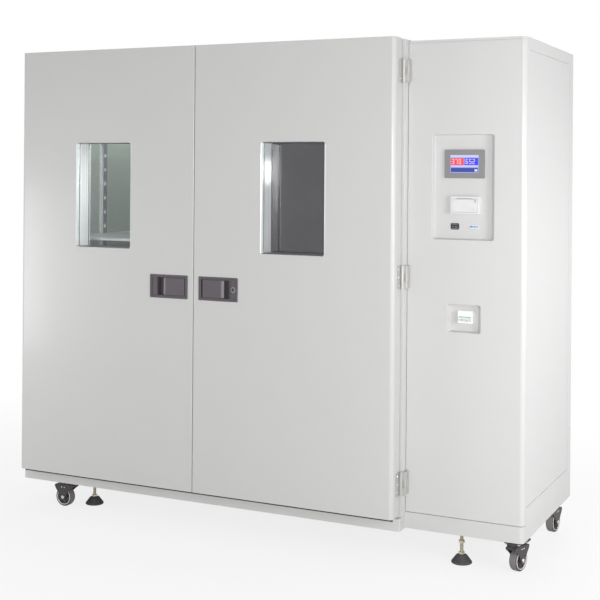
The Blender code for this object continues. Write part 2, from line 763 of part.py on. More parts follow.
def air_duct_panel():
    """The cover over the fan's duct, with its grilles and the shelf uprights of that side."""
    front = CASE_FRONT + DUCT_FRONT
    rear = ROOM_BACK - DUCT_REAR
    low, high = ROOM_FLOOR + DUCT_LOW, ROOM_CEILING - DUCT_HIGH
    cover = span(DUCT_FACE, ROOM_RIGHT - SEAT, front, rear, low, high)
    hollow = span(DUCT_FACE + LINER_SHEET, ROOM_RIGHT + PAST, front + LINER_SHEET, rear - LINER_SHEET,
                  low + LINER_SHEET, high - LINER_SHEET)
    solids, pockets = ladder(DUCT_FACE, -1)
    piece = add("air_duct_panel", carve([cover, *solids], [hollow, *pockets]), "stainless")
    slots = []
    through = (DUCT_FACE - PAST, DUCT_FACE + PAST)
    reach = FAN_RADIUS + 0.008
    for n in range(GRILLE_SLOTS):
        rise = (n - (GRILLE_SLOTS - 1) / 2) * 2 * reach / GRILLE_SLOTS
        chord = sqrt(reach * reach - rise * rise)
        slots.append(carve([span(*through, DUCT_Y - chord, DUCT_Y + chord,
                                 FAN_Z + rise - GRILLE_SLOT / 2, FAN_Z + rise + GRILLE_SLOT / 2)]))
    half = AIR_SLOT_LENGTH / 2
    for n in range(AIR_SLOTS):
        for z in (low + (n + 1) * AIR_SLOT_PITCH, high - (n + 1) * AIR_SLOT_PITCH):
            slots.append(carve([span(*through, DUCT_Y - half, DUCT_Y + half, z - GRILLE_SLOT / 2,
                                     z + GRILLE_SLOT / 2)]))
    shape(piece, "DIFFERENCE", gather(slots))


def to_room_side():
    """Turns a shape drawn along +Z so that it lies along -X, from the right-hand wall."""
    return Matrix.Translation((ROOM_RIGHT - SEAT, DUCT_Y, FAN_Z)) @ Matrix.Rotation(-pi / 2, 4, "Y")


def fan_motor():
    shaft_end = DUCT_DEPTH - 0.012
    profile = [(MOTOR_RADIUS + 0.008, 0), (MOTOR_RADIUS + 0.008, 0.003), (MOTOR_RADIUS, 0.003),
               (MOTOR_RADIUS, MOTOR_LENGTH - 0.005), (MOTOR_RADIUS - 0.005, MOTOR_LENGTH),
               (SHAFT_RADIUS * 2, MOTOR_LENGTH), (SHAFT_RADIUS * 2, MOTOR_LENGTH + 0.004),
               (SHAFT_RADIUS, MOTOR_LENGTH + 0.004), (SHAFT_RADIUS, shaft_end)]
    bm = turned(profile, 28)
    bm.transform(to_room_side())
    add("fan_motor", bm, "motor_grey")


def circulation_fan():
    low = MOTOR_LENGTH + 0.004 + 2 * SEAT
    bore = SHAFT_RADIUS + RUNNING
    hub = turned([(bore, low), (FAN_HUB, low), (FAN_HUB, low + FAN_HUB_DEPTH),
                  (bore, low + FAN_HUB_DEPTH)], 24, bored=True)
    hub.transform(to_room_side())
    spin = body("fan_axis", (ROOM_RIGHT - SEAT, DUCT_Y, FAN_Z))
    piece = add("circulation_fan", hub, "motor_grey", spin)
    blades = []
    middle = low + FAN_HUB_DEPTH / 2
    for n in range(FAN_BLADES):
        blade = carve([span(FAN_HUB * 0.7, FAN_RADIUS, -0.017, 0.017, -0.001, 0.001)])
        blade.transform(Matrix.Rotation(FAN_PITCH, 4, "X"))
        blade.transform(Matrix.Rotation(2 * pi * n / FAN_BLADES, 4, "Z"))
        blade.transform(Matrix.Translation((0, 0, middle)))
        blade.transform(to_room_side())
        blades.append(blade)
    shape(piece, "UNION", gather(blades))


def upright_places():
    """The y of the front and rear uprights."""
    front = CASE_FRONT + UPRIGHT_FROM_FRONT
    return front, front + UPRIGHT_PITCH


def ladder(face, toward):
    """Boxes of two slotted uprights on a face, with their ties and a clip under each shelf."""
    low = ROOM_FLOOR + UPRIGHT_FOOT
    solids = [span(face, face + toward * TIE_DEPTH, *upright_places(), z, z + TIE_HEIGHT)
              for z in (low, low + UPRIGHT_HEIGHT - TIE_HEIGHT)]
    slots = []
    for y in upright_places():
        solids.append(span(face, face + toward * UPRIGHT_DEPTH, y - UPRIGHT_WIDTH / 2, y + UPRIGHT_WIDTH / 2,
                           low, low + UPRIGHT_HEIGHT))
        for height in SHELF_HEIGHTS:
            top = ROOM_FLOOR + height - SEAT
            solids.append(span(face, face + toward * (UPRIGHT_DEPTH + CLIP_REACH), y - 0.010, y + 0.010,
                               top - CLIP_HEIGHT, top))
        for n in range(UPRIGHT_SLOTS):
            z = low + UPRIGHT_SLOT_PITCH * (n + 0.6)
            clear = all(abs(z - ROOM_FLOOR - height) > UPRIGHT_SLOT_HEIGHT for height in SHELF_HEIGHTS)
            if clear:
                slots.append(span(face + toward * 0.002, face + toward * (UPRIGHT_DEPTH + PAST),
                                  y - UPRIGHT_SLOT_WIDTH / 2, y + UPRIGHT_SLOT_WIDTH / 2,
                                  z - UPRIGHT_SLOT_HEIGHT / 2, z + UPRIGHT_SLOT_HEIGHT / 2))
    return solids, slots


def shelf_uprights():
    """The ladder on the left wall; the duct panel carries the other."""
    add("shelf_uprights", carve(*ladder(ROOM_LEFT + SEAT, 1)), "stainless")


def shelf(name, height):
    """A flat bar shelf between the uprights of the two side walls."""
    left = ROOM_LEFT + UPRIGHT_DEPTH + 2 * SEAT
    right = DUCT_FACE - UPRIGHT_DEPTH - 2 * SEAT
    front = CASE_FRONT + SHELF_FRONT_GAP
    rear = ROOM_BACK - SHELF_REAR_GAP
    low = ROOM_FLOOR + height
    pitch = (right - left - 2 * SHELF_RIM + SHELF_BAR) / SHELF_BARS
    slots = []
    for n in range(SHELF_BARS):
        start = left + SHELF_RIM + n * pitch
        slots.append(span(start, start + pitch - SHELF_BAR, front + SHELF_RIM, rear - SHELF_RIM,
                          low - PAST, low + SHELF_THICK + PAST))
    add(name, carve([span(left, right, front, rear, low, low + SHELF_THICK)], slots), "stainless")


# Doors, drawn as distance outwards from the seam

def window_limits(grow=0.0):
    start = WINDOW_FROM_SEAM - grow
    return start, start + WINDOW_WIDTH + 2 * grow, WINDOW_BOTTOM - grow, WINDOW_BOTTOM + WINDOW_HEIGHT + grow


def latch_limits(inset):
    """Low and high u and z of the latch bezel, drawn in by an inset."""
    return (LATCH_FROM_SEAM + inset, LATCH_FROM_SEAM + LATCH_WIDTH - inset,
            LATCH_CENTRE_Z - LATCH_HEIGHT / 2 + inset, LATCH_CENTRE_Z + LATCH_HEIGHT / 2 - inset)


def door_skin(name, side, carrier):
    radii = (DOOR_SEAM_RADIUS, DOOR_EDGE_RADIUS, 0, 0)
    outline = rounded(DOOR_START, DOOR_END, DOOR_FRONT, DOOR_REAR, radii, 6)
    piece = add(name + "_door_skin", prism(outline, "Z", DOOR_BOTTOM, DOOR_TOP), "white_paint", carrier, side)
    inner = [radius - SHEET for radius in radii[:2]] + [0, 0]
    hollow = rounded(DOOR_START + SHEET, DOOR_END - SHEET, DOOR_FRONT + SHEET, DOOR_REAR + PAST, inner, 6)
    shape(piece, "DIFFERENCE", prism(hollow, "Z", DOOR_BOTTOM + SHEET, DOOR_TOP - SHEET), side)
    window = rounded(*window_limits(), [WINDOW_CORNER] * 4)
    openings = [prism(window, "Y", DOOR_FRONT - PAST, DOOR_FRONT + PAST)]
    latch = latch_limits(BEZEL_RIM - CUP_WALL - SEAT)
    openings.append(carve([span(latch[0], latch[1], DOOR_FRONT - PAST, DOOR_FRONT + PAST, latch[2], latch[3])]))
    shape(piece, "DIFFERENCE", gather(openings), side)
    hinge_leaves(piece, side)


def plug_limits():
    """The part of a door that stands inside the chamber's mouth, clear of the post."""
    outer = (ROOM_RIGHT - ROOM_LEFT) / 2 - PLUG_GAP
    return POST_WIDTH / 2 + PLUG_GAP, outer, ROOM_FLOOR + PLUG_GAP, ROOM_CEILING - PLUG_GAP


def door_liner(name, side, carrier):
    """The foam core with its stainless inner panel."""
    skin = SHEET + SEAT
    core = span(DOOR_START + skin, DOOR_END - skin, DOOR_FRONT + skin, DOOR_REAR,
                DOOR_BOTTOM + skin, DOOR_TOP - skin)
    u0, u1, z0, z1 = plug_limits()
    rear = DOOR_REAR + PLUG_DEPTH
    plug = span(u0, u1, DOOR_REAR - PAST, rear, z0, z1)
    w0, w1, wz0, wz1 = window_limits()
    window = span(w0, w1, DOOR_FRONT - PAST, rear + PAST, wz0, wz1)
    cup = latch_limits(BEZEL_RIM - CUP_WALL - SEAT)
    pocket = span(cup[0], cup[1], DOOR_FRONT - PAST, DOOR_FRONT + CUP_DEPTH + SEAT, cup[2], cup[3])
    bm = carve([core, plug], [window, pocket])
    soften(bm, upright_edge(DOOR_END - skin, DOOR_FRONT + skin), DOOR_EDGE_RADIUS - SHEET, 6)
    soften(bm, upright_edge(DOOR_START + skin, DOOR_FRONT + skin), DOOR_SEAM_RADIUS - SHEET, 6)

    def plug_rim(p, q):
        on_rear = near(p.y, rear) and near(q.y, rear)
        on_side = near(p.x, q.x) and (near(p.x, u0) or near(p.x, u1))
        on_end = near(p.z, q.z) and (near(p.z, z0) or near(p.z, z1))
        return on_rear and (on_side or on_end)

    soften(bm, plug_rim, PLUG_EDGE, 3)
    add(name + "_door_liner", bm, "faced_foam", carrier, side)


def door_seal(name, side, carrier):
    """The magnetic gasket that closes the gap between the door and the case or the post."""
    edge = SEAL_INSET + SEAL_WIDTH
    y0, y1 = DOOR_REAR + SEAT, CASE_FRONT - SEAT
    section = [(0, y0), (0.002, y1), (SEAL_WIDTH - 0.002, y1), (SEAL_WIDTH, y0)]
    bm = frame_ring(DOOR_START + edge, DOOR_END - edge, DOOR_BOTTOM + edge, DOOR_TOP - edge, 0.002, section, 2)
    add(name + "_door_seal", bm, "seal_rubber", carrier, side)


def door_window(name, side, carrier):
    """The sleeve that lines the opening and its two panes."""
    back = DOOR_REAR + PLUG_DEPTH + SEAT
    front = DOOR_FRONT + 0.0005
    out = SLEEVE_WALL
    section = [(0, front), (out, front), (out, back), (out + SLEEVE_FLANGE, back),
               (out + SLEEVE_FLANGE, back + LINER_SHEET), (0, back + LINER_SHEET)]
    aperture = window_limits(-SLEEVE_WALL - SEAT)
    corner = WINDOW_CORNER - SLEEVE_WALL - SEAT
    add(name + "_window_sleeve", frame_ring(*aperture, corner, section), "stainless", carrier, side)
    pane = rounded(*window_limits(-SLEEVE_WALL - 2 * SEAT), [corner - SEAT] * 4)
    for place, depth in (("outer", PANE_FRONT_DEPTH), ("inner", PANE_REAR_DEPTH)):
        glass = prism(pane, "Y", DOOR_FRONT + depth, DOOR_FRONT + depth + PANE_THICK)
        add(name + "_" + place + "_pane", glass, "window_glass", carrier, side)


def latch_housing(name, side, carrier, keyed):
    """A flanged cup: the paddle's well with the finger pocket, then the shallow key plate."""
    face = DOOR_FRONT - BEZEL_PROUD
    u0, u1, z0, z1 = latch_limits(0)
    c0, c1, cz0, cz1 = latch_limits(BEZEL_RIM - CUP_WALL)
    bezel = span(u0, u1, face, DOOR_FRONT - SEAT, z0, z1)
    cup = span(c0, c1, DOOR_FRONT - PAST / 8, DOOR_FRONT + CUP_DEPTH, cz0, cz1)
    well = span(LATCH_FROM_SEAM + WELL_START, LATCH_FROM_SEAM + WELL_END, face - PAST,
                DOOR_FRONT + CUP_DEPTH - CUP_WALL, cz0 + CUP_WALL, cz1 - CUP_WALL)
    key_plate = span(LATCH_FROM_SEAM + WELL_END + CUP_WALL, c1 - CUP_WALL, face - PAST,
                     face + KEY_PLATE_DEPTH, cz0 + CUP_WALL, cz1 - CUP_WALL)
    bm = carve([bezel, cup], [well, key_plate])
    for u in (u0, u1):
        soften(bm, lambda p, q: all(near(v.x, u) and (near(v.z, z0) or near(v.z, z1)) for v in (p, q))
               and near(p.z, q.z), 0.004, 2)
    piece = add(name + "_latch_housing", bm, "latch_black", carrier, side)
    if keyed:
        u, depth = LOCK_FROM_SEAM + LATCH_FROM_SEAM, face + KEY_PLATE_DEPTH + LOCK_LENGTH
        hole = rod(LOCK_RADIUS + RUNNING, (u, face - PAST, LATCH_CENTRE_Z), (u, depth, LATCH_CENTRE_Z), 24)
        shape(piece, "DIFFERENCE", hole, side)


def paddle(name, side, carrier):
    """The pull handle: a barrel on its pin at the seam end and a rolled nose at the free end."""
    pivot_u = LATCH_FROM_SEAM + WELL_START + PADDLE_BARREL + 0.0015
    face = DOOR_FRONT - BEZEL_PROUD + PADDLE_BACK
    pivot_y = face + PADDLE_BARREL
    hinge = body(name + "_paddle_hinge", Vector((SEAM_X + side * pivot_u, pivot_y, 0)) - carrier.location, carrier)
    tip = LATCH_FROM_SEAM + PADDLE_END
    inner = PADDLE_NOSE - 0.005
    outline = arc((pivot_u, pivot_y), PADDLE_BARREL, 90, 270, 8)
    outline += arc((tip - PADDLE_NOSE, face + PADDLE_NOSE), PADDLE_NOSE, 270, 360, 6)
    outline += arc((tip - PADDLE_NOSE, face + PADDLE_NOSE), inner, 360, 270, 4)
    outline += [(tip - PADDLE_NOSE - 0.004, face + PADDLE_THICK), (pivot_u + 0.012, face + PADDLE_THICK)]
    rim = BEZEL_RIM + PADDLE_SIDE_GAP
    low, high = LATCH_CENTRE_Z - LATCH_HEIGHT / 2 + rim, LATCH_CENTRE_Z + LATCH_HEIGHT / 2 - rim
    piece = add(name + "_paddle", prism(outline, "Z", low, high), "latch_black", hinge, side)
    piece.location = -hinge.location - carrier.location
    reach = PADDLE_SIDE_GAP - SEAT
    pin = rod(PADDLE_PIN_RADIUS, (pivot_u, pivot_y, low - reach), (pivot_u, pivot_y, high + reach), 12)
    shape(piece, "UNION", pin, side)


def lock_cylinder(carrier):
    """The key lock in the right-hand latch, with its key slot."""
    face = DOOR_FRONT - BEZEL_PROUD + KEY_PLATE_DEPTH
    u = LOCK_FROM_SEAM + LATCH_FROM_SEAM
    place = Vector((SEAM_X + u, face, LATCH_CENTRE_Z))
    turn = body("lock_axis", place - carrier.location, carrier)
    front = -LOCK_PROUD
    profile = [(LOCK_RADIUS - 0.001, front), (LOCK_RADIUS, front + 0.001), (LOCK_RADIUS, LOCK_LENGTH - 2 * SEAT)]
    bm = turned(profile, 24)
    bm.transform(Matrix.Rotation(-pi / 2, 4, "X"))
    piece = add("lock_cylinder", bm, "chrome", turn, local=True)
    shape(piece, "DIFFERENCE", carve([span(-0.0009, 0.0009, front - 0.001, 0.002, -0.0045, 0.0045)]))


def hinge_axis():
    """Distance from the seam and y of a door's hinge line."""
    return DOOR_END + HINGE_AXIS_OUT, DOOR_FRONT + HINGE_AXIS_BACK


def hinge_leaves(skin, side):
    """Welds three leaves to the door's edge, each with the middle knuckle round its pin."""
    axis_u, axis_y = hinge_axis()
    inner, outer = DOOR_END - SHEET / 2, DOOR_END + LEAF_THICK
    tall, short = HINGE_HEIGHT / 2 - 0.001, KNUCKLE_MIDDLE / 2 - SEAT
    leaf_end = axis_y - KNUCKLE_RADIUS + 0.001
    leaves, knuckles, bores = [], [], []
    for z in HINGE_ZS:
        leaf = span(inner, outer, leaf_end - LEAF_WIDTH, leaf_end, z - tall, z + tall)
        tab = span(inner, outer, leaf_end - PAST, axis_y, z - short + SEAT, z + short - SEAT)
        leaves.append(carve([leaf, tab]))
        knuckles.append(rod(KNUCKLE_RADIUS, (axis_u, axis_y, z - short), (axis_u, axis_y, z + short)))
        bores.append(rod(PIN_RADIUS + RUNNING, (axis_u, axis_y, z - tall), (axis_u, axis_y, z + tall), 12))
    shape(skin, "UNION", gather(leaves), side)
    shape(skin, "UNION", gather(knuckles), side)
    shape(skin, "DIFFERENCE", gather(bores), side)


def case_hinges(name, side):
    """The fixed hinge blocks on the case's side, with the outer knuckles and the pin."""
    axis_u, axis_y = hinge_axis()
    inner = DOOR_END + DOOR_SIDE_INSET + SEAT
    outer = DOOR_END + DOOR_SIDE_INSET + HINGE_BLOCK
    tall = HINGE_HEIGHT / 2
    for place, z in zip(("lower", "middle", "upper"), HINGE_ZS):
        block = carve([span(inner, outer, CASE_FRONT + SEAT, CASE_FRONT + HINGE_BLOCK_DEPTH,
                            z - tall + 0.001, z + tall - 0.001)])
        piece = add(name + "_" + place + "_hinge", block, "chrome", side=side)
        knuckles = []
        for end in (-1, 1):
            low, high = z + end * KNUCKLE_MIDDLE / 2, z + end * tall
            outline = arc((axis_u, axis_y), KNUCKLE_RADIUS, 90, 360, 9)
            outline += [(outer - 0.002, axis_y), (outer - 0.002, CASE_FRONT + 0.004),
                        (inner + 0.001, CASE_FRONT + 0.004), (inner + 0.001, axis_y + KNUCKLE_RADIUS)]
            knuckles.append(prism(outline, "Z", low, high))
        shape(piece, "UNION", gather(knuckles), side)
        pin = rod(PIN_RADIUS, (axis_u, axis_y, z - tall + 0.003), (axis_u, axis_y, z + tall - 0.003), 12)
        shape(piece, "UNION", pin, side)


def door(name, side):
    axis_x = SEAM_X + side * (DOOR_END + HINGE_AXIS_OUT)
    carrier = body(name + "_door_hinge", (axis_x, DOOR_FRONT + HINGE_AXIS_BACK, 0))
    door_skin(name, side, carrier)
    door_liner(name, side, carrier)
    door_seal(name, side, carrier)
    door_window(name, side, carrier)
    latch_housing(name, side, carrier, keyed=side > 0)
    case_hinges(name, side)
    paddle(name, side, carrier)
    if side > 0:
        lock_cylinder(carrier)


# Machine column

def machine_case():
    """Sides, back and cap; the cap's lip runs forward over the front panel."""
    side_front = COLUMN_FRONT + PANEL_RETURN + SEAT
    low = PLINTH_TOP + SEAT
    shell = span(COLUMN_LEFT, COLUMN_RIGHT, side_front, BACK, low, COLUMN_TOP)
    cap = span(COLUMN_LEFT, COLUMN_RIGHT, COLUMN_FRONT, BACK, COLUMN_TOP - CAP_LIP, COLUMN_TOP)
    hollow = span(COLUMN_LEFT + SHEET, COLUMN_RIGHT - SIDE_WALL, side_front - PAST, BACK - SHEET,
                  low - PAST, COLUMN_TOP - CAP_LIP)
    y0, y1, z0, z1 = side_panel_limits(SIDE_PANEL_GROOVE)
    rebate = span(COLUMN_RIGHT - SHEET - SEAT, COLUMN_RIGHT + PAST, y0, y1, z0, z1)
    y0, y1, z0, z1 = side_panel_limits(-SIDE_PANEL_LEDGE)
    hatch = span(COLUMN_RIGHT - SIDE_WALL - PAST, COLUMN_RIGHT + PAST, y0, y1, z0, z1)
    slots = []
    for n in range(LOUVRES):
        z = PLINTH_TOP + LOUVRE_LOW + n * LOUVRE_PITCH
        slots.append(span(COLUMN_X - LOUVRE_WIDTH / 2, COLUMN_X + LOUVRE_WIDTH / 2, BACK - PAST, BACK + PAST,
                          z, z + LOUVRE_HEIGHT))
    bm = carve([shell, cap], [hollow, rebate, hatch, *slots])
    soften(bm, upright_edge(COLUMN_RIGHT, COLUMN_FRONT), COLUMN_EDGE_RADIUS, 5)
    add("machine_case", bm, "white_paint")


def side_panel_limits(grow):
    """Low and high y and z of the removable side panel, grown all round."""
    return (COLUMN_FRONT + SIDE_PANEL_FRONT - grow, BACK - SIDE_PANEL_REAR + grow,
            PLINTH_TOP + SIDE_PANEL_LOW - grow, COLUMN_TOP - SIDE_PANEL_HIGH + grow)


def side_panel():
    y0, y1, z0, z1 = side_panel_limits(0)
    outline = rounded(y0, y1, z0, z1, [0.003] * 4, 2)
    add("side_panel", prism(outline, "X", COLUMN_RIGHT - SHEET, COLUMN_RIGHT), "white_paint")


def front_panel():
    """The folded front sheet with its two pressed recesses."""
    rear = COLUMN_FRONT + PANEL_RETURN
    outline = rounded(COLUMN_LEFT, COLUMN_RIGHT, COLUMN_FRONT, rear, (0.003, COLUMN_EDGE_RADIUS, 0, 0), 5)
    piece = add("front_panel", prism(outline, "Z", PANEL_BOTTOM, PANEL_TOP), "white_paint")
    inner = rounded(COLUMN_LEFT + SHEET, COLUMN_RIGHT - SHEET, COLUMN_FRONT + SHEET, rear + PAST,
                    (0.001, COLUMN_EDGE_RADIUS - SHEET, 0, 0), 5)
    shape(piece, "DIFFERENCE", prism(inner, "Z", PANEL_BOTTOM - PAST, PANEL_TOP + PAST))
    recesses = ((RECESS_WIDTH, RECESS_HEIGHT, RECESS_SLOPE, RECESS_X, RECESS_BOTTOM + RECESS_HEIGHT / 2,
                 RECESS_DEPTH),
                (BREAKER_RECESS_WIDTH, BREAKER_RECESS_HEIGHT, BREAKER_RECESS_SLOPE, BREAKER_RECESS_X,
                 BREAKER_RECESS_Z, BREAKER_RECESS_DEPTH))
    pans, dishes = [], []
    for width, height, slope, x, z, depth in recesses:
        pans.append(tapered(width, height, slope, x, z, COLUMN_FRONT + SHEET / 2,
                            COLUMN_FRONT + depth + SHEET, RECESS_CORNER, grow=SHEET))
        reach = PAST * slope / depth
        dishes.append(tapered(width + 2 * reach, height + 2 * reach, slope + reach, x, z,
                              COLUMN_FRONT - PAST, COLUMN_FRONT + depth, RECESS_CORNER))
    shape(piece, "UNION", gather(pans))
    shape(piece, "DIFFERENCE", gather(dishes))
    shape(piece, "UNION", switch_rim())


def touch_screen():
    front, rear = RECESS_FLOOR - SEAT - SCREEN_PROUD, RECESS_FLOOR - SEAT
    half_w, half_h = SCREEN_WIDTH / 2, SCREEN_HEIGHT / 2
    loops = []
    for y, inset, radius in ((front, 0.0015, 0.003), (front + 0.0015, 0.0, 0.004), (rear, 0.0, 0.004)):
        outline = rounded(RECESS_X - half_w + inset, RECESS_X + half_w - inset, SCREEN_Z - half_h + inset,
                          SCREEN_Z + half_h - inset, [radius] * 4, 3)
        loops.append([(a, y, b) for a, b in outline])
    piece = add("screen_housing", loft(loops, closed=False), "screen_grey")
    half_w, half_h = DISPLAY_WIDTH / 2, DISPLAY_HEIGHT / 2
    well = span(RECESS_X - half_w, RECESS_X + half_w, front - PAST, front + DISPLAY_DEPTH,
                SCREEN_Z - half_h, SCREEN_Z + half_h)
    shape(piece, "DIFFERENCE", carve([well]))
    glass = span(RECESS_X - half_w + SEAT, RECESS_X + half_w - SEAT, front + DISPLAY_DEPTH - SEAT - GLASS_THICK,
                 front + DISPLAY_DEPTH - SEAT, SCREEN_Z - half_h + SEAT, SCREEN_Z + half_h - SEAT)
    add("screen_glass", carve([glass]), "display_glass")


def printer():
    """The ticket printer: a body with a paper slot and a lid hinged along its lower edge."""
    front, rear = RECESS_FLOOR - SEAT - PRINTER_PROUD, RECESS_FLOOR - SEAT
    x = RECESS_X + PRINTER_X
    half_w, half_h = PRINTER_WIDTH / 2, PRINTER_HEIGHT / 2
    lid_low = PRINTER_Z - half_h + 0.006
    lid_high = lid_low + LID_HEIGHT
    lid_half = LID_WIDTH / 2
    lid_front = front - LID_PROUD
    lid_rear = lid_front + LID_THICK
    well = span(x - lid_half - LID_GAP, x + lid_half + LID_GAP, front - PAST, lid_rear + LID_GAP,
                lid_low - LID_GAP, lid_high + LID_GAP)
    slot_low = lid_high + LID_GAP
    slot_half = PAPER_SLOT_WIDTH / 2
    paper = span(x - slot_half, x + slot_half, front - PAST, rear - 0.003, slot_low - PAST / 4,
                 slot_low + PAPER_SLOT_HEIGHT)
    bm = carve([span(x - half_w, x + half_w, front, rear, PRINTER_Z - half_h, PRINTER_Z + half_h)],
               [well, paper])
    add("printer_body", bm, "printer_white")
    radius = LID_THICK / 2
    pivot = (lid_front + radius, lid_low + radius)
    hinge = body("printer_lid_hinge", (x, *pivot))
    outline = arc(pivot, radius, 180, 360, 8)
    outline += [(lid_rear, lid_high), (lid_front + 0.002, lid_high), (lid_front, lid_high - 0.002)]
    add("printer_lid", prism(outline, "X", x - lid_half, x + lid_half), "printer_white", hinge)


def switch_rim():
    """The raised rim round the power switch, moulded on the panel."""
    x = RECESS_X + SWITCH_X
    half_w, half_h = SWITCH_WIDTH / 2, SWITCH_HEIGHT / 2
    rim = span(x - half_w, x + half_w, RECESS_FLOOR - SWITCH_PROUD, RECESS_FLOOR + SHEET / 2,
               SWITCH_Z - half_h, SWITCH_Z + half_h)
    hole = span(x - half_w + SWITCH_RIM, x + half_w - SWITCH_RIM, RECESS_FLOOR - PAST, RECESS_FLOOR + PAST,
                SWITCH_Z - half_h + SWITCH_RIM, SWITCH_Z + half_h - SWITCH_RIM)
    return carve([rim], [hole])


def power_rocker():
    """The rocker, which rests with its upper end out."""
    x = RECESS_X + SWITCH_X
    pivot_y = RECESS_FLOOR - ROCKER_PIVOT
    hinge = body("rocker_axis", (x, pivot_y, SWITCH_Z))
    reach = SWITCH_HEIGHT / 2 - SWITCH_RIM - 0.0012
    face = RECESS_FLOOR - ROCKER_PROUD
    dip = reach * sin(ROCKER_TRAVEL)
    outline = [(pivot_y, SWITCH_Z), (pivot_y - 0.0010, SWITCH_Z - reach), (face + dip, SWITCH_Z - reach),
               (face + dip / 3, SWITCH_Z), (face + dip / 6, SWITCH_Z + reach),
               (pivot_y - 0.0010, SWITCH_Z + reach)]
    width = SWITCH_WIDTH / 2 - SWITCH_RIM - RUNNING
    add("power_rocker", prism(outline, "X", x - width, x + width), "switch_black", hinge)


def data_port():
    """A shell-type data connector on its plate, with a jack screw at each end."""
    x = RECESS_X + PORT_X
    rear = RECESS_FLOOR - SEAT
    plate = rounded(x - PORT_WIDTH / 2, x + PORT_WIDTH / 2, SWITCH_Z - PORT_HEIGHT / 2,
                    SWITCH_Z + PORT_HEIGHT / 2, [0.002] * 4, 2)
    piece = add("data_port", prism(plate, "Y", rear - 0.0012, rear), "port_blue")
    front = rear - PORT_PROUD
    shell = [(x - 0.0085, SWITCH_Z + 0.0042), (x - 0.0072, SWITCH_Z - 0.0042),
             (x + 0.0072, SWITCH_Z - 0.0042), (x + 0.0085, SWITCH_Z + 0.0042)]
    bosses = [prism(shell, "Y", front, rear - 0.0006)]
    for side in (-1, 1):
        centre = (x + side * 0.0122, SWITCH_Z)
        bosses.append(prism(arc(centre, 0.0026, 0, 300, 5), "Y", front + 0.001, rear - 0.0006))
    shape(piece, "UNION", gather(bosses))


def breaker():
    """The three-pole breaker: its stepped nose and the tied toggles in their slot."""
    rear = BREAKER_FLOOR - SEAT
    front = rear - BREAKER_PROUD
    centre, middle = BREAKER_RECESS_X + BREAKER_X, BREAKER_RECESS_Z + BREAKER_RISE
    half_w, half_h = BREAKER_WIDTH / 2, BREAKER_HEIGHT / 2
    nose = span(centre - half_w, centre + half_w, front, rear, middle - half_h, middle + half_h)
    pivot_z = middle - TOGGLE_DROP
    slot_w, slot_h = BREAKER_SLOT_WIDTH / 2, BREAKER_SLOT_HEIGHT / 2
    slot = span(centre - slot_w, centre + slot_w, front - PAST, front + BREAKER_SLOT_DEPTH,
                pivot_z - slot_h, pivot_z + slot_h)
    steps = [span(centre - half_w - PAST, centre + half_w + PAST, front - PAST, front + 0.004, low, high)
             for low, high in ((middle - half_h - PAST, middle - half_h + 0.004),
                               (middle + half_h - 0.004, middle + half_h + PAST))]
    add("breaker_body", carve([nose], [slot, *steps]), "breaker_white")
    pivot_y = front + TOGGLE_DRUM * 0.35
    hinge = body("breaker_toggle_axis", (centre, pivot_y, pivot_z))
    width = slot_w - 2 * RUNNING
    drum = rod(TOGGLE_DRUM, (centre - width, pivot_y, pivot_z), (centre + width, pivot_y, pivot_z), 20)
    piece = add("breaker_toggles", drum, "toggle_grey", hinge)
    levers = []
    for n in range(POLES):
        x = (n - (POLES - 1) / 2) * POLE_PITCH
        lever = carve([span(x - TOGGLE_WIDTH / 2, x + TOGGLE_WIDTH / 2, -TOGGLE_REACH, -TOGGLE_DRUM * 0.5,
                            -TOGGLE_THICK / 2, TOGGLE_THICK / 2)])
        lever.transform(Matrix.Rotation(TOGGLE_REST, 4, "X"))
        lever.transform(Matrix.Translation((centre, pivot_y, pivot_z)))
        levers.append(lever)
    shape(piece, "UNION", gather(levers))


def condensing_unit():
    """One bought unit on the column's floor: tray, compressor and finned condenser."""
    low = PLINTH_TOP + SEAT
    tray_top = low + TRAY_THICK
    x0, x1 = COLUMN_X - CONDENSER_WIDTH / 2, COLUMN_X + CONDENSER_WIDTH / 2
    y1 = BACK - SHEET - CONDENSER_FROM_BACK
    y0 = y1 - CONDENSER_DEPTH
    centre_y = BACK - COMPRESSOR_FROM_BACK
    r, h = COMPRESSOR_RADIUS, COMPRESSOR_HEIGHT
    tray = span(x0, x1, centre_y - 1.3 * r, y1, low, tray_top)
    coil = span(x0, x1, y0, y1, low, low + CONDENSER_HEIGHT)
    pitch = CONDENSER_HEIGHT / (CONDENSER_FINS + 1)
    grooves = []
    for n in range(1, CONDENSER_FINS + 1):
        z = low + n * pitch
        for face in (y0, y1):
            grooves.append(span(x0 + 0.012, x1 - 0.012, face - FIN_GROOVE, face + FIN_GROOVE, z - 0.004, z + 0.004))
    piece = add("condensing_unit", carve([tray, coil], grooves), "compressor_black")
    dome = [(r * cos(a), low + h * 0.72 + h * 0.28 * sin(a)) for a in (0.0, 0.5, 0.9, 1.25)]
    can = turned([(r * 0.80, tray_top - TRAY_THICK / 2), (r * 0.97, tray_top + 0.018), (r, low + 0.045), *dome], 28)
    can.transform(Matrix.Translation((COLUMN_X, centre_y, 0)))
    shape(piece, "UNION", can)


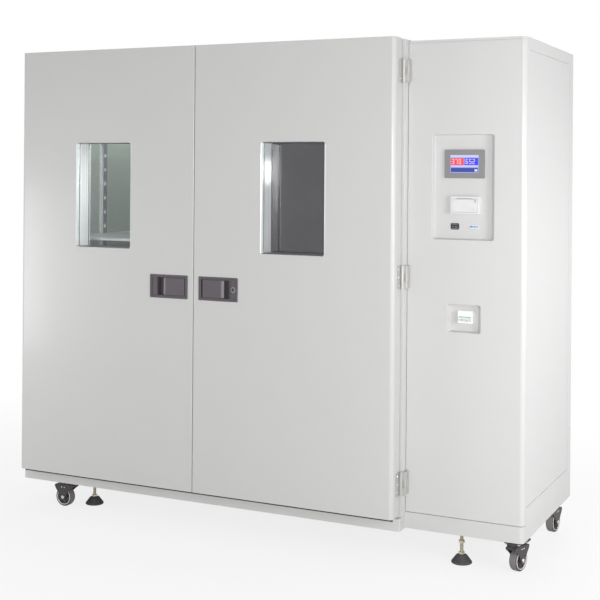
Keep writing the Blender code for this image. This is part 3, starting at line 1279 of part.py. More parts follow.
def build():
    for old in list(bpy.data.objects):
        bpy.data.objects.remove(old, do_unlink=True)
    base_frame()
    for name, x, y, heading in castor_spots():
        castor(name, x, y, heading, braked=name == "front_right")
    for name, x, y in foot_spots():
        levelling_foot(name, x, y)
    outer_case()
    insulation()
    inner_liner()
    centre_post()
    air_duct_panel()
    fan_motor()
    circulation_fan()
    shelf_uprights()
    for name, height in zip(("lower_shelf", "middle_shelf", "upper_shelf"), SHELF_HEIGHTS):
        shelf(name, height)
    door("left", -1)
    door("right", 1)
    machine_case()
    side_panel()
    front_panel()
    touch_screen()
    printer()
    power_rocker()
    data_port()
    breaker()
    condensing_unit()
    bpy.context.view_layer.update()


build()
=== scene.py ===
"""The look of a refrigerated incubator: painted steel doors and column, flush latches, controls."""
import json
from math import cos, pi, radians, sin

import bmesh
import bpy
from mathutils import Matrix, Vector


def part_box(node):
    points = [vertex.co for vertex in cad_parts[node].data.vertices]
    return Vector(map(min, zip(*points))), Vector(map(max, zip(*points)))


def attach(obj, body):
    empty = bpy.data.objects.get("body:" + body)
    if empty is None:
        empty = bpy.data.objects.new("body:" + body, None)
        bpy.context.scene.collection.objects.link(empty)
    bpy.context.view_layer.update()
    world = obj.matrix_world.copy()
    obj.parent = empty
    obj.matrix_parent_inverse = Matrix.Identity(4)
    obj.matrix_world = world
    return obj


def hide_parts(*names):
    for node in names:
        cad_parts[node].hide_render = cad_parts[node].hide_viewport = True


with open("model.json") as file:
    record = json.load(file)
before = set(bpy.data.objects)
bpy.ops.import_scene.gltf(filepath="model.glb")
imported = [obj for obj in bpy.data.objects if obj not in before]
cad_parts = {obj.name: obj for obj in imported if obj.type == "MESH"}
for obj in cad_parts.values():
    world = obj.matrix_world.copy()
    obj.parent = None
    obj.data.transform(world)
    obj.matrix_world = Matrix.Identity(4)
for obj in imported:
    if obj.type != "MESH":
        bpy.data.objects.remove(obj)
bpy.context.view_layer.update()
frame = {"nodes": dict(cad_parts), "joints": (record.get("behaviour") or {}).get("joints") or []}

SEAT = 0.0003   # gap between parts that sit in each other
SHEET = 0.002
PAST = 0.01     # how far a cutting shape reaches past a surface
BEND = 0.017    # radius of the folded front corners


# Places, read from the solids

door_low, door_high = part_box("left_door_liner")
right_low, right_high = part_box("right_door_liner")
case_low, case_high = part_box("outer_case")
panel_low, panel_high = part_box("front_panel")
column_low, column_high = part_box("machine_case")
side_low, side_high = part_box("side_panel")
base_low, base_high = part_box("base_frame")
latch_low, latch_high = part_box("right_latch_housing")
pane_low, pane_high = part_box("right_outer_pane")
screen_low, screen_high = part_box("screen_housing")
printer_low, printer_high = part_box("printer_body")
port_low, port_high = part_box("data_port")
breaker_low, breaker_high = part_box("breaker_body")

SKIN = SHEET + SEAT
DOOR_FRONT = door_low.y - SKIN
DOOR_REAR = DOOR_FRONT + 0.068
DOOR_BOTTOM = door_low.z - SKIN
DOOR_TOP = door_high.z + SKIN
SEAM_X = (door_high.x + right_low.x) / 2
DOOR_START = right_low.x - SKIN - SEAM_X
DOOR_END = right_high.x + SKIN - SEAM_X
BASE_BOTTOM = base_low.z + 0.014
COLUMN_FRONT = panel_low.y
COLUMN_X = (panel_low.x + panel_high.x) / 2
RECESS_DEPTH = 0.022
# Recesses: how far the left, right, bottom and top wall lean in; width, height, middle x and z
RECESS_LEANS = (0.003, 0.016, 0.004, 0.002)
RECESS_CORNER = 0.009
RECESSES = ((0.238, 0.389, COLUMN_X - 0.01, 1.3975), (0.129, 0.103, COLUMN_X - 0.0035, 0.9135))
LATCH = (latch_low.x - SEAM_X, latch_high.x - SEAM_X, latch_low.z, latch_high.z)
JOINTS = {joint["name"]: joint for joint in frame["joints"]}
CASTORS = ("front_left", "front_right", "rear_left", "rear_right")
FEET = {}
for castor_name in CASTORS:
    foot_low, foot_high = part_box(castor_name + "_foot")
    FEET[castor_name] = ((foot_low.x + foot_high.x) / 2, (foot_low.y + foot_high.y) / 2)
BORE = 0.0069


# The photograph's camera, the light around and the lamps: name, place, aim, width, height, watts
LEFT_EDGE = SEAM_X - DOOR_END
CAMERA = (LEFT_EDGE + 3.3037, DOOR_FRONT - 4.1115, 1.4437)
CAMERA_TURN, CAMERA_ROLL = 25.68, 0.43
CAMERA_LENS, CAMERA_SHIFT = 71.6, -0.2108
AMBIENT = 0.41
SPOT_WIDTH = 0.02
GLOSSY_RAY, TRANSMISSION_RAY = 3, 6
LAMPS = (
    ("camera_lamp", (2.35, -4.75, 1.53), (0.1, -0.3, 0.9), 0.4, 0.4, 98),
    ("right_softbox", (2.7, -1.3, 1.2), (0.8, -0.3, 1.00), 0.6, 0.9, 24),
    ("side_softbox", (2.15, 0.35, 1.1), (1.1, 0.05, 1.15), 0.5, 0.6, 5.5),
    ("left_softbox", (-2.2, -1.6, 0.9), (-1, -0.4, 0.95), 0.5, 0.9, 10),
    ("chamber_lamp", (-0.45, -0.22, 1.83), (-1, 0.02, 1.3), 0.3, 0.1, 3.2),
    ("left_window_lamp", (-0.6, -0.2, 1.4), (-0.79, -0.36, 1.36), 0.04, 0.25, 0.2),
    ("right_window_lamp", (0.22, -0.365, 1.45), (0.084, -0.365, 1.45), 0.012, 0.03, 0.03),
    ("rear_softbox", (-0.4, 5, 2.4), (0, 0.4, 1), 3, 2, 150),
)

# Shapes

def arc(centre, radius, start, end, steps):
    """Points on an arc from the start angle to the end angle, in degrees."""
    angles = [radians(start + (end - start) * n / steps) for n in range(steps + 1)]
    return [(centre[0] + radius * cos(a), centre[1] + radius * sin(a)) for a in angles]


def rounded(a0, a1, b0, b1, radii, steps=8):
    """A rectangle outline; radii are for the corners low-low, high-low, high-high and low-high."""
    if not isinstance(radii, (tuple, list)):
        radii = (radii,) * 4
    points = []
    spots = ((a0, b0, 1, 1, 180), (a1, b0, -1, 1, 270), (a1, b1, -1, -1, 0), (a0, b1, 1, -1, 90))
    for (a, b, toward_a, toward_b, start), radius in zip(spots, radii):
        if radius <= 0:
            points.append((a, b))
        else:
            centre = (a + toward_a * radius, b + toward_b * radius)
            points += arc(centre, radius, start, start + 90, steps)
    return points


def facing_out(bm):
    """Turns the faces of one closed body outwards."""
    bmesh.ops.recalc_face_normals(bm, faces=bm.faces)
    if bm.calc_volume(signed=True) < 0:
        bmesh.ops.reverse_faces(bm, faces=bm.faces)
    return bm


def loft(loops, closed=False):
    """Skins loops of equal count; an open stack gets end caps, a closed one joins up as a ring."""
    bm = bmesh.new()
    rings = [[bm.verts.new(point) for point in loop] for loop in loops]
    count = len(rings[0])
    pairs = list(zip(rings, rings[1:]))
    if closed:
        pairs.append((rings[-1], rings[0]))
    else:
        bm.faces.new(rings[0][::-1])
        bm.faces.new(rings[-1])
    for low, high in pairs:
        for n in range(count):
            after = (n + 1) % count
            bm.faces.new((low[n], low[after], high[after], high[n]))
    return facing_out(bm)


def prism(outline, axis, low, high):
    """An outline pushed along an axis; X takes (y, z), Y takes (x, z) and Z takes (x, y)."""
    def place(a, b, along):
        return {"X": (along, a, b), "Y": (a, along, b), "Z": (a, b, along)}[axis]
    return loft([[place(a, b, along) for a, b in outline] for along in (low, high)])


def block(x0, x1, y0, y1, z0, z1):
    """A plain box."""
    return prism([(x0, y0), (x1, y0), (x1, y1), (x0, y1)], "Z", z0, z1)


def ring(a0, a1, b0, b1, radius, section, steps=8):
    """A rectangular ring across Y; section lists (distance outwards from the aperture, y)."""
    loops = []
    for out, y in section:
        outline = rounded(a0 - out, a1 + out, b0 - out, b1 + out, max(radius + out, 0.0004), steps)
        loops.append([(a, y, b) for a, b in outline])
    return loft(loops, closed=True)


def turned(profile, segments=48, bored=False):
    """A solid of revolution about Z; a bored one has a closed profile clear of the axis."""
    around = [2 * pi * n / segments for n in range(segments)]
    return loft([[(r * cos(a), r * sin(a), z) for a in around] for r, z in profile], bored)


def rod(radius, start, end, segments=24):
    """A plain round bar between two points."""
    start, along = Vector(start), Vector(end) - Vector(start)
    turn = along.to_track_quat("Z", "Y").to_matrix().to_4x4()
    return moved(turned([(radius, 0), (radius, along.length)], segments), at(*start) @ turn)


def mm(*points):
    """Points given in millimetres."""
    return [(a / 1000, b / 1000) for a, b in points]


def at(x, y, z):
    return Matrix.Translation((x, y, z))


def spin(degrees, axis):
    return Matrix.Rotation(radians(degrees), 4, axis)


def moved(bm, matrix):
    bm.transform(matrix)
    return bm


def front_of(low, high):
    """The rectangle of a box seen from the front."""
    return low.x, high.x, low.z, high.z


def within(rect, gap):
    """A rectangle drawn in by a gap on all sides."""
    a0, a1, b0, b1 = rect
    return a0 + gap, a1 - gap, b0 + gap, b1 - gap


def plate(rect, steps):
    """A rounded plate across Y; steps lists (y, how far it is drawn in there, corner radius)."""
    return loft([[(a, y, b) for a, b in rounded(*within(rect, gap), radius)] for y, gap, radius in steps])


def gather(meshes):
    """Copies several meshes into one, as separate shells."""
    bm = bmesh.new()
    for mesh in meshes:
        copies = {vert: bm.verts.new(vert.co) for vert in mesh.verts}
        for face in mesh.faces:
            bm.faces.new([copies[vert] for vert in face.verts])
        mesh.free()
    return bm


def dished(mouth, front, start, end, grow=0):
    """A block between two depths behind the front, whose walls lean in as a pressed recess's do."""
    x0, x1, z0, z1 = within(mouth, -grow)
    loops = []
    for along in (start, end):
        left, right, bottom, top = (lean * along / RECESS_DEPTH for lean in RECESS_LEANS)
        outline = rounded(x0 + left, x1 - right, z0 + bottom, z1 - top, RECESS_CORNER + grow)
        loops.append([(x, front + along, z) for x, z in outline])
    return loft(loops)


def mirrored(bm, side):
    """Maps (distance from the seam, y, z) to the left door, -1, or the right door, +1."""
    bm.transform(at(SEAM_X, 0, 0) @ Matrix.Diagonal((side, 1, 1, 1)))
    if side < 0:
        bmesh.ops.reverse_faces(bm, faces=bm.faces)
    return bm


# Pieces

def to_mesh(name, bm):
    mesh = bpy.data.meshes.new(name)
    bm.to_mesh(mesh)
    bm.free()
    return mesh


def new_object(name, data):
    obj = bpy.data.objects.new(name, data)
    bpy.context.scene.collection.objects.link(obj)
    return obj


def dress(obj, finish):
    obj.data.materials.clear()
    obj.data.materials.append(finish)


def settle(obj, edge, segments):
    """Rounds the edges of a piece, makes its shape final and shades it."""
    if edge:
        bevel = obj.modifiers.new("Edges", "BEVEL")
        bevel.width = edge
        bevel.segments = segments
        bevel.limit_method = "ANGLE"
        bevel.angle_limit = radians(38)
        bevel.harden_normals = False
    if obj.modifiers:
        bpy.context.view_layer.update()
        evaluated = obj.evaluated_get(bpy.context.evaluated_depsgraph_get())
        final = bpy.data.meshes.new_from_object(evaluated)
        obj.modifiers.clear()
        obj.data = final
    obj.data.shade_smooth()
    obj.data.set_sharp_from_angle(angle=radians(36))
    weighted = obj.modifiers.new("Normals", "WEIGHTED_NORMAL")
    weighted.keep_sharp = True


def join(bm):
    return "UNION", bm


def cut(bm):
    return "DIFFERENCE", bm


def piece(name, bm, finish, carrier, slot, replaces=(), edge=0, steps=(), segments=3):
    """A finished piece: joined and cut in order, edged, given its finish and set on its body."""
    obj = new_object(name, to_mesh(name, bm))
    tools = []
    for operation, shape in steps:
        tool = new_object(name + "_tool", to_mesh(name + "_tool", shape))
        modifier = obj.modifiers.new(operation.title(), "BOOLEAN")
        modifier.operation = operation
        modifier.solver = "EXACT"
        modifier.object = tool
        tools.append(tool)
    settle(obj, edge, segments)
    for tool in tools:
        bpy.data.objects.remove(tool, do_unlink=True)
    dress(obj, finish)
    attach(obj, carrier)
    if replaces:
        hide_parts(*replaces)


def door_piece(name, side, part, bm, finish, slot, replaces=(), steps=(), carrier=None, **looks):
    """A piece drawn for the right door, and mirrored for the left one."""
    steps = [(operation, mirrored(shape, side)) for operation, shape in steps]
    carrier = carrier or name + "_door"
    piece(name + part, mirrored(bm, side), finish, carrier, slot, replaces, steps=steps, **looks)


def refinish(finish, *names):
    """Gives solids whose shape is right a better finish."""
    for name in names:
        dress(frame["nodes"][name], finish)


# Finishes

class Signal:
    """A value or colour that varies over a surface; its operators add Math nodes."""

    def __init__(self, finish, socket):
        self.finish = finish
        self.socket = socket

    def maths(self, operation, first, second):
        return self.finish.node("Math", {"operation": operation}, {0: first, 1: second})

    def __add__(self, other):
        return self.maths("ADD", self, other)

    __radd__ = __add__

    def __mul__(self, other):
        return self.maths("MULTIPLY", self, other)

    __rmul__ = __mul__


class Shading:
    """A node tree under construction."""

    def __init__(self, tree):
        self.tree = tree

    def plainly_seen(self):
        """One for what the camera sees, directly or in clear reflections and glass."""
        path = self.node("LightPath")
        mirrored_path = self.node("LightPath", None, None, GLOSSY_RAY)
        return path + mirrored_path + self.node("LightPath", None, None, TRANSMISSION_RAY)

    def node(self, kind, settings=None, inputs=None, output=0):
        """Adds a node: its settings first, then the values or links of its sockets."""
        made = self.tree.nodes.new("ShaderNode" + kind)
        for key, value in (settings or {}).items():
            setattr(made, key, value)
        for key, value in (inputs or {}).items():
            self.feed(made.inputs[key], value)
        return Signal(self, made.outputs[output]) if made.outputs else made

    def feed(self, socket, value):
        if isinstance(value, Signal):
            self.tree.links.new(value.socket, socket)
        else:
            socket.default_value = value

    def ramp(self, signal, *stops):
        """Maps a value to a grey through stops of (value, grey)."""
        mapped = self.node("ValToRGB", None, {0: signal})
        elements = mapped.socket.node.color_ramp.elements
        while len(elements) > 1:
            elements.remove(elements[-1])
        for n, (place, shade) in enumerate(stops):
            stop = elements[0] if n == 0 else elements.new(place)
            stop.position = place
            stop.color = (shade, shade, shade, 1)
        return mapped


class Finish(Shading):
    """A Principled material under construction."""

    def __init__(self, name, colour, roughness, metallic=0, **steady):
        self.material = bpy.data.materials.new(name)
        self.material.use_nodes = True
        super().__init__(self.material.node_tree)
        self.shader = self.tree.nodes["Principled BSDF"]
        self.set(Base_Color=(*colour, 1), Roughness=roughness, Metallic=metallic, **steady)

    def set(self, **values):
        for label, value in values.items():
            self.feed(self.shader.inputs[label.replace("_", " ")], value)

    def place(self, scale=(1, 1, 1)):
        """The point on the object, stretched by a scale for grain."""
        point = self.node("TexCoord", output=3)
        if tuple(scale) == (1, 1, 1):
            return point
        return self.node("VectorMath", {"operation": "MULTIPLY"}, {0: point, 1: scale})

    def noise(self, scale, detail=3, stretch=(1, 1, 1), roughness=0.5):
        return self.node("TexNoise", None, {"Vector": self.place(stretch), "Scale": scale, "Detail": detail,
                                            "Roughness": roughness})

    def blend(self, factor, first, second):
        """Mixes two colours."""
        inputs = {0: factor, 6: (*first, 1) if isinstance(first, tuple) else first,
                  7: (*second, 1) if isinstance(second, tuple) else second}
        return self.node("Mix", {"data_type": "RGBA", "clamp_factor": True}, inputs, 2)

    def bump(self, height, strength, distance):
        """Sets the surface's fine relief."""
        bump = self.node("Bump", None, {"Height": height, "Strength": strength, "Distance": distance})
        self.set(Normal=bump)
        return self


def powder_coat(name, colour, roughness=0.36):
    """Baked powder coat: orange peel, slight cloudiness, a little dust low down."""
    finish = Finish(name, colour, roughness, 0, Coat_Weight=0.25, Coat_Roughness=0.16)
    cloud = finish.noise(2.3, 2)
    fleck = finish.noise(240, 2)
    height = finish.node("SeparateXYZ", None, {0: finish.place()}, 2)
    dust = finish.ramp(height, (0, 1), (0.16, 0.35), (0.4, 0))
    shade = tuple(c * 0.965 for c in colour)
    clean = finish.blend(cloud, shade, colour)
    dusty = tuple(c * k for c, k in zip(colour, (0.955, 0.945, 0.925)))
    finish.set(Base_Color=finish.blend(dust * fleck * 0.8, clean, dusty))
    finish.set(Roughness=roughness - 0.05 + 0.1 * finish.noise(3.1, 3))
    return finish.bump(finish.noise(520, 2), 0.1, 0.0004).material


def brushed(name, colour, roughness, stretch, metallic=1):
    """Brushed stainless sheet, its grain drawn out along one axis."""
    finish = Finish(name, colour, roughness, metallic)
    grain = finish.noise(1, 4, stretch, 0.65)
    cloud = finish.noise(5, 3)
    finish.set(Base_Color=finish.blend(grain, tuple(c * 0.86 for c in colour), colour))
    finish.set(Roughness=roughness - 0.1 + 0.16 * grain + 0.05 * cloud)
    return finish.bump(grain, 0.16, 0.0003).material


def satin_steel(name):
    """Satin stainless with soft upright bands, as rolled sheet shows close to; the pale bands also act as
    painted sheen, and faces turned up or down get a painted dark shade.
    """
    finish = Finish(name, (0.8, 0.82, 0.83), 0.3, 0.12)
    band = finish.noise(1, 5, (120, 120, 0.5), 0.7)
    grain = finish.noise(1, 3, (700, 700, 6), 0.6)
    # Faces turned up or down are painted dark grey: a painted shade for the dark reflection they would show.
    up_down_painted_shade = finish.node("SeparateXYZ", None, {0: finish.node("NewGeometry", None, None, 1)}, 2)
    # The pale upright bands are partly the sheet's grain and partly a painted sheen.
    streaks = finish.blend(finish.ramp(band, (0.34, 0), (0.58, 1)), (0.66, 0.7, 0.72), (0.98, 1, 1))
    finish.set(Base_Color=finish.blend(up_down_painted_shade * up_down_painted_shade, streaks, (0.17, 0.17, 0.18)))
    finish.set(Roughness=0.22 + 0.16 * grain)
    return finish.bump(grain, 0.1, 0.0002).material


def moulded(name, colour, roughness, grain=1600, relief=0.12):
    """Moulded plastic with a fine spark grain and rubbed high spots."""
    finish = Finish(name, colour, roughness)
    cloud = finish.noise(38, 4)
    rubbed = tuple(min(1, c * 1.1 + 0.006) for c in colour)
    finish.set(Base_Color=finish.blend(cloud, colour, rubbed))
    finish.set(Roughness=roughness - 0.06 + 0.12 * finish.noise(90, 3))
    return finish.bump(finish.noise(grain, 2), relief, 0.0002).material


def metal(name, colour, roughness, cloudiness=60, metallic=1):
    """Plated or polished metal with faint handling marks."""
    finish = Finish(name, colour, roughness, metallic)
    mark = finish.noise(cloudiness, 5, roughness=0.6)
    finish.set(Base_Color=finish.blend(mark, tuple(c * 0.88 for c in colour), colour))
    finish.set(Roughness=roughness - 0.05 + 0.14 * mark)
    return finish.bump(mark, 0.05, 0.0002).material


def rubber(name, colour, roughness=0.72):
    """Moulded rubber, dusty where it rolls or rests."""
    finish = Finish(name, colour, roughness)
    dust = finish.noise(140, 5)
    pale = tuple(min(1, c * 1.55 + 0.03) for c in colour)
    finish.set(Base_Color=finish.blend(dust * 0.7, colour, pale))
    finish.set(Roughness=roughness - 0.1 + 0.18 * dust)
    return finish.bump(finish.noise(900, 3), 0.25, 0.0003).material


def glazing(name, tint, body, mirror, metallic):
    """Sheet glass: a see-through body with a tint, more mirror at a slant, faint smears."""
    finish = Finish(name, tint, 0.03, metallic, IOR=1.5, Specular_IOR_Level=0.9)
    slant = finish.node("Fresnel", None, {"IOR": 1.5})
    smear = finish.noise(7, 3)
    finish.set(Alpha=body + mirror * slant + 0.01 * smear, Roughness=0.02 + 0.03 * smear)
    return finish.material


def lit(name, colour, strength):
    """A glowing patch of the display."""
    finish = Finish(name, tuple(c * 0.2 for c in colour), 0.25, 0, Emission_Strength=strength)
    cell = finish.noise(900, 1)
    finish.set(Emission_Color=finish.blend(cell, tuple(c * 0.92 for c in colour), colour))
    return finish.material


# The three coats are one paint; their slight steps in lightness, doors darkest and column lightest, are
# painted light and shade.
door_paint = powder_coat("door_powder_coat", (0.58, 0.58, 0.574))
case_paint = powder_coat("case_powder_coat", (0.59, 0.59, 0.584))
column_paint = powder_coat("column_powder_coat", (0.602, 0.602, 0.598))
liner_steel = brushed("liner_brushed_steel", (0.6, 0.65, 0.615), 0.34, (260, 260, 3), 0.85)
trim_steel = satin_steel("lining_satin_steel")
# A pale non-metal finish that paints glints on the ladder's tabs.
glint_tab_finish = moulded("tab_painted_glint", (0.86, 0.9, 0.88), 0.24, 700, 0.05)
upright_steel = brushed("upright_steel", (0.33, 0.32, 0.35), 0.4, (240, 240, 4))
shelf_steel = brushed("shelf_steel", (0.66, 0.7, 0.71), 0.3, (4, 300, 300), 0.45)
hinge_steel = metal("hinge_satin_steel", (0.5, 0.495, 0.475), 0.44, 60, 0.35)
lock_steel = metal("lock_dark_steel", (0.12, 0.11, 0.12), 0.2)
bright_steel = metal("bright_steel", (0.8, 0.8, 0.81), 0.14)
zinc_steel = metal("zinc_plated_steel", (0.6, 0.55, 0.45), 0.34)
latch_plastic = moulded("latch_plastic", (0.082, 0.071, 0.082), 0.46)
# Lighter plastic that paints a highlight on the paddle's nose.
paddle_highlight_plastic = moulded("paddle_painted_highlight_plastic", (0.18, 0.17, 0.185), 0.38)
screen_plastic = moulded("screen_bezel_plastic", (0.215, 0.215, 0.22), 0.55)
printer_plastic = moulded("printer_plastic", (0.655, 0.655, 0.66), 0.42, 1900, 0.08)
printer_shade = moulded("printer_grey_plastic", (0.46, 0.46, 0.48), 0.45)
switch_plastic = moulded("switch_plastic", (0.02, 0.018, 0.026), 0.32)
port_plastic = moulded("port_blue_plastic", (0.16, 0.46, 0.74), 0.42)
breaker_plastic = moulded("breaker_plastic", (0.86, 0.86, 0.855), 0.36, 1900, 0.06)
toggle_plastic = moulded("toggle_plastic", (0.62, 0.7, 0.68), 0.4)
castor_paint = moulded("castor_black_enamel", (0.03, 0.026, 0.03), 0.4, 700, 0.1)
hub_plastic = moulded("castor_hub_plastic", (0.036, 0.032, 0.038), 0.42)
ring_plastic = moulded("castor_ring_plastic", (0.8, 0.8, 0.82), 0.38)
tread_rubber = rubber("castor_tread_rubber", (0.15, 0.136, 0.13))
sidewall_rubber = rubber("castor_sidewall_rubber", (0.05, 0.044, 0.046))
# Black rubber for the painted shadow strip under the doors.
sill_shadow_rubber = rubber("sill_painted_shadow_rubber", (0.03, 0.028, 0.03))
pad_rubber = rubber("foot_pad_rubber", (0.04, 0.036, 0.042), 0.68)
seal_rubber = rubber("door_seal_rubber", (0.11, 0.11, 0.115))
foam = moulded("foam_core", (0.8, 0.72, 0.48), 0.85, 300, 0.5)
fan_plastic = moulded("fan_plastic", (0.06, 0.06, 0.065), 0.5)
window_glass = glazing("window_glass", (0.86, 0.94, 0.91), 0, 0.3, 1)
# Near-black, mostly opaque glass for the right door's inner pane: painted shade standing in for the dark
# chamber seen through that window.
painted_shade_glass = glazing("painted_shade_window_glass", (0.034, 0.026, 0.037), 0.89, 0.26, 0)


# Doors

def door(name, side):
    """The folded skin with its hinge leaves, window sleeve, latch and paddle."""
    outline = rounded(DOOR_START - 0.0006, DOOR_END, DOOR_FRONT, DOOR_REAR, (0.0035, BEND, 0, 0), 12)
    skin = prism(outline, "Z", DOOR_BOTTOM, DOOR_TOP)
    inner = rounded(DOOR_START + SHEET, DOOR_END - SHEET, DOOR_FRONT + SHEET, DOOR_REAR + PAST,
                    (0.002, BEND - SHEET, 0, 0), 12)
    hollow = prism(inner, "Z", DOOR_BOTTOM + SHEET, DOOR_TOP - SHEET)
    near, far = DOOR_FRONT - PAST, DOOR_FRONT + PAST
    pane = (pane_low.x - SEAM_X, pane_high.x - SEAM_X, pane_low.z, pane_high.z)
    opening = within(pane, -2 * SEAT - 0.003)
    window = prism(rounded(*opening, 0.01), "Y", near, far)
    x0, x1, z0, z1 = within(LATCH, 0.009)
    hole = block(x0, x1, near, far, z0, z1)
    door_piece(name, side, "_door_sheet", skin, door_paint, "white_paint", (name + "_door_skin",),
               [cut(hollow), cut(window), cut(hole)], edge=0.0009)
    window_lining(name, side, opening)
    latch(name, side)
    hinge_pieces(name, side)


def window_lining(name, side, opening):
    """The stainless sleeve with a rolled lip in front and a flange inside, and a bead at each pane."""
    front, back, rim = DOOR_FRONT + 0.0003, DOOR_REAR + 0.03 + SEAT, DOOR_REAR + 0.0315 + SEAT
    wall, flange = 0.003 - SEAT, 0.0145
    section = [(0, front + 0.0022), (0.0007, front + 0.0007), (0.002, front), (wall, front + 0.0003),
               (wall, back), (flange, back), (flange, rim), (0, rim)]
    sleeve = ring(*within(opening, 0.003), 0.007, section)
    door_piece(name, side, "_window_lining", sleeve, trim_steel, "stainless", (name + "_window_sleeve",))
    for place, depth in (("front", 0.0205), ("rear", 0.086)):
        y, rear = DOOR_FRONT + depth, DOOR_FRONT + depth + 0.003
        section = [(0, y), (0.0019, y), (0.0019, rear), (0.0005, rear)]
        bead = ring(*within(opening, 0.0052), 0.004, section, 4)
        door_piece(name, side, "_" + place + "_glazing_bead", bead, seal_rubber, "seal_rubber")


def latch(name, side):
    """Bezel, well, key plate and the paddle, with a lighter strip on its pull edge as a painted highlight.
    """
    x0, x1, z0, z1 = LATCH
    face = DOOR_FRONT - 0.0025
    bezel = plate(LATCH, ((DOOR_FRONT - SEAT, 0, 0.004), (face + 0.001, 0, 0.004), (face, 0.0012, 0.0028)))
    cup = block(x0 + 0.0095, x1 - 0.0095, DOOR_FRONT - 0.001, DOOR_FRONT + 0.03, z0 + 0.0095, z1 - 0.0095)
    low, high = z0 + 0.0115, z1 - 0.0115
    well = block(x0 + 0.0125, x0 + 0.142, face - PAST, DOOR_FRONT + 0.028, low, high)
    key_plate = block(x0 + 0.1445, x1 - 0.011, face - PAST, face + 0.003, low, high)
    above, bed = face - 0.001, face + 0.0016
    groove = ring(*within(LATCH, 0.0085), 0.003, [(0, above), (0.0015, above), (0.0015, bed), (0, bed)], 4)
    door_piece(name, side, "_latch_bezel", bezel, latch_plastic, "latch_black", (name + "_latch_housing",),
               [join(cup), cut(well), cut(key_plate), cut(groove)], edge=0.0005, segments=2)
    tip, hub_x = x0 + 0.115, x0 + 0.0225
    top, under = face + 0.0005, face + 0.0075
    nose = (tip - 0.007, under)
    outline = arc((hub_x, face + 0.0065), 0.006, 90, 262, 14)
    outline += [(hub_x + 0.006, top + 0.0001), (hub_x + 0.03, top - 0.0002), (tip - 0.012, top)]
    outline += arc(nose, 0.007, 275, 360, 12) + arc(nose, 0.0035, 360, 270, 8)
    outline += [(tip - 0.012, top + 0.0045), (tip - 0.016, under), (hub_x + 0.012, under)]
    low, high = z0 + 0.0125, z1 - 0.0125
    door_piece(name, side, "_pull_paddle", prism(outline, "Z", low, high), latch_plastic, "latch_black",
               (name + "_paddle",), carrier=name + "_paddle", edge=0.0008, segments=2)
    # The lighter strip along the nose of the paddle is a painted highlight for the sheen of its rolled pull
    # edge.
    lip = [(tip - 0.012, top - 0.0003)] + arc(nose, 0.0073, 272, 345, 12) + arc(nose, 0.0064, 345, 272, 12)
    lip.append((tip - 0.012, top + 0.0006))
    door_piece(name, side, "_paddle_painted_highlight", prism(lip, "Z", low + 0.0015, high - 0.0015), paddle_highlight_plastic,
               "latch_black", carrier=name + "_paddle")
    if side > 0:
        lock(SEAM_X + x0 + 0.157, face + 0.003, (z0 + z1) / 2)


def lock(x, y, z):
    """The lock's escutcheon and its cylinder with a key slot."""
    turn = at(x, y, z) @ spin(-90, "X")
    collar = turned(mm((8.6, -0.3), (10.6, -0.3), (10.4, -1.4), (9.7, -2.2), (8.6, -2.2)), bored=True)
    piece("lock_escutcheon", moved(collar, turn), bright_steel, "right_door", "chrome")
    barrel = turned(mm((6.9, -2.4), (7.8, -1.7), (8, 15)))
    slot = block(x - 0.0009, x + 0.0009, y - 0.01, y + 0.003, z - 0.0046, z + 0.0046)
    piece("lock_barrel", moved(barrel, turn), lock_steel, "lock", "chrome", ("lock_cylinder",),
          steps=[cut(slot)])


def hinge_pieces(name, side):
    """Leaves, knuckles and fixed blocks, with the heads of their screws."""
    x, y = DOOR_END + 0.0085, DOOR_FRONT + 0.064
    near, far = DOOR_END + 0.0001, DOOR_END + 0.003
    inner, outer, back = DOOR_END + 0.0113, DOOR_END + 0.024, case_low.y + 0.004
    reach, radius = 0.0137, 0.0063
    for place in ("lower", "middle", "upper"):
        label = "_" + place + "_hinge"
        low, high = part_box(name + label)
        z, half = (low.z + high.z) / 2, (high.z - low.z) / 2
        foot, head = low.z + 0.001, high.z - 0.001
        leaf = block(near, far, y - 0.0323, y - 0.0053, foot, head)
        tab = block(near, far, y - 0.01, y, z - reach, z + reach)
        knuckle = rod(radius, (x, y, z - reach), (x, y, z + reach), 32)
        door_piece(name, side, label + "_leaf", leaf, hinge_steel, "chrome", (), [join(tab), join(knuckle)],
                   edge=0.0006, segments=2)
        screws = []
        for rise in (-0.03, 0, 0.03):
            screw = turned(mm((3.6, -0.2), (3.6, 0.4), (3, 1.1), (1.2, 1.2)), 24)
            screws.append(moved(screw, at(far, y - 0.02, z + rise) @ spin(90, "Y")))
        door_piece(name, side, label + "_screws", gather(screws), bright_steel, "chrome")
        outline = rounded(inner, outer, case_low.y + SEAT, case_low.y + 0.032, (0, 0.003, 0.003, 0), 6)
        fixed = prism(outline, "Z", foot, head)
        bar = arc((x, y), radius, 90, 360, 24)
        edge = inner + 0.001
        bar += [(outer - 0.002, y), (outer - 0.002, back), (edge, back), (edge, y + radius)]
        arms = [join(prism(bar, "Z", z + end * 0.014, z + end * half)) for end in (-1, 1)]
        pin = rod(0.003, (x, y, low.z + 0.003), (x, y, high.z - 0.003), 20)
        door_piece(name, side, label + "_block", fixed, hinge_steel, "chrome", (name + label,),
                   arms + [join(pin)], "cabinet", edge=0.0006, segments=2)


# Cabinet and column

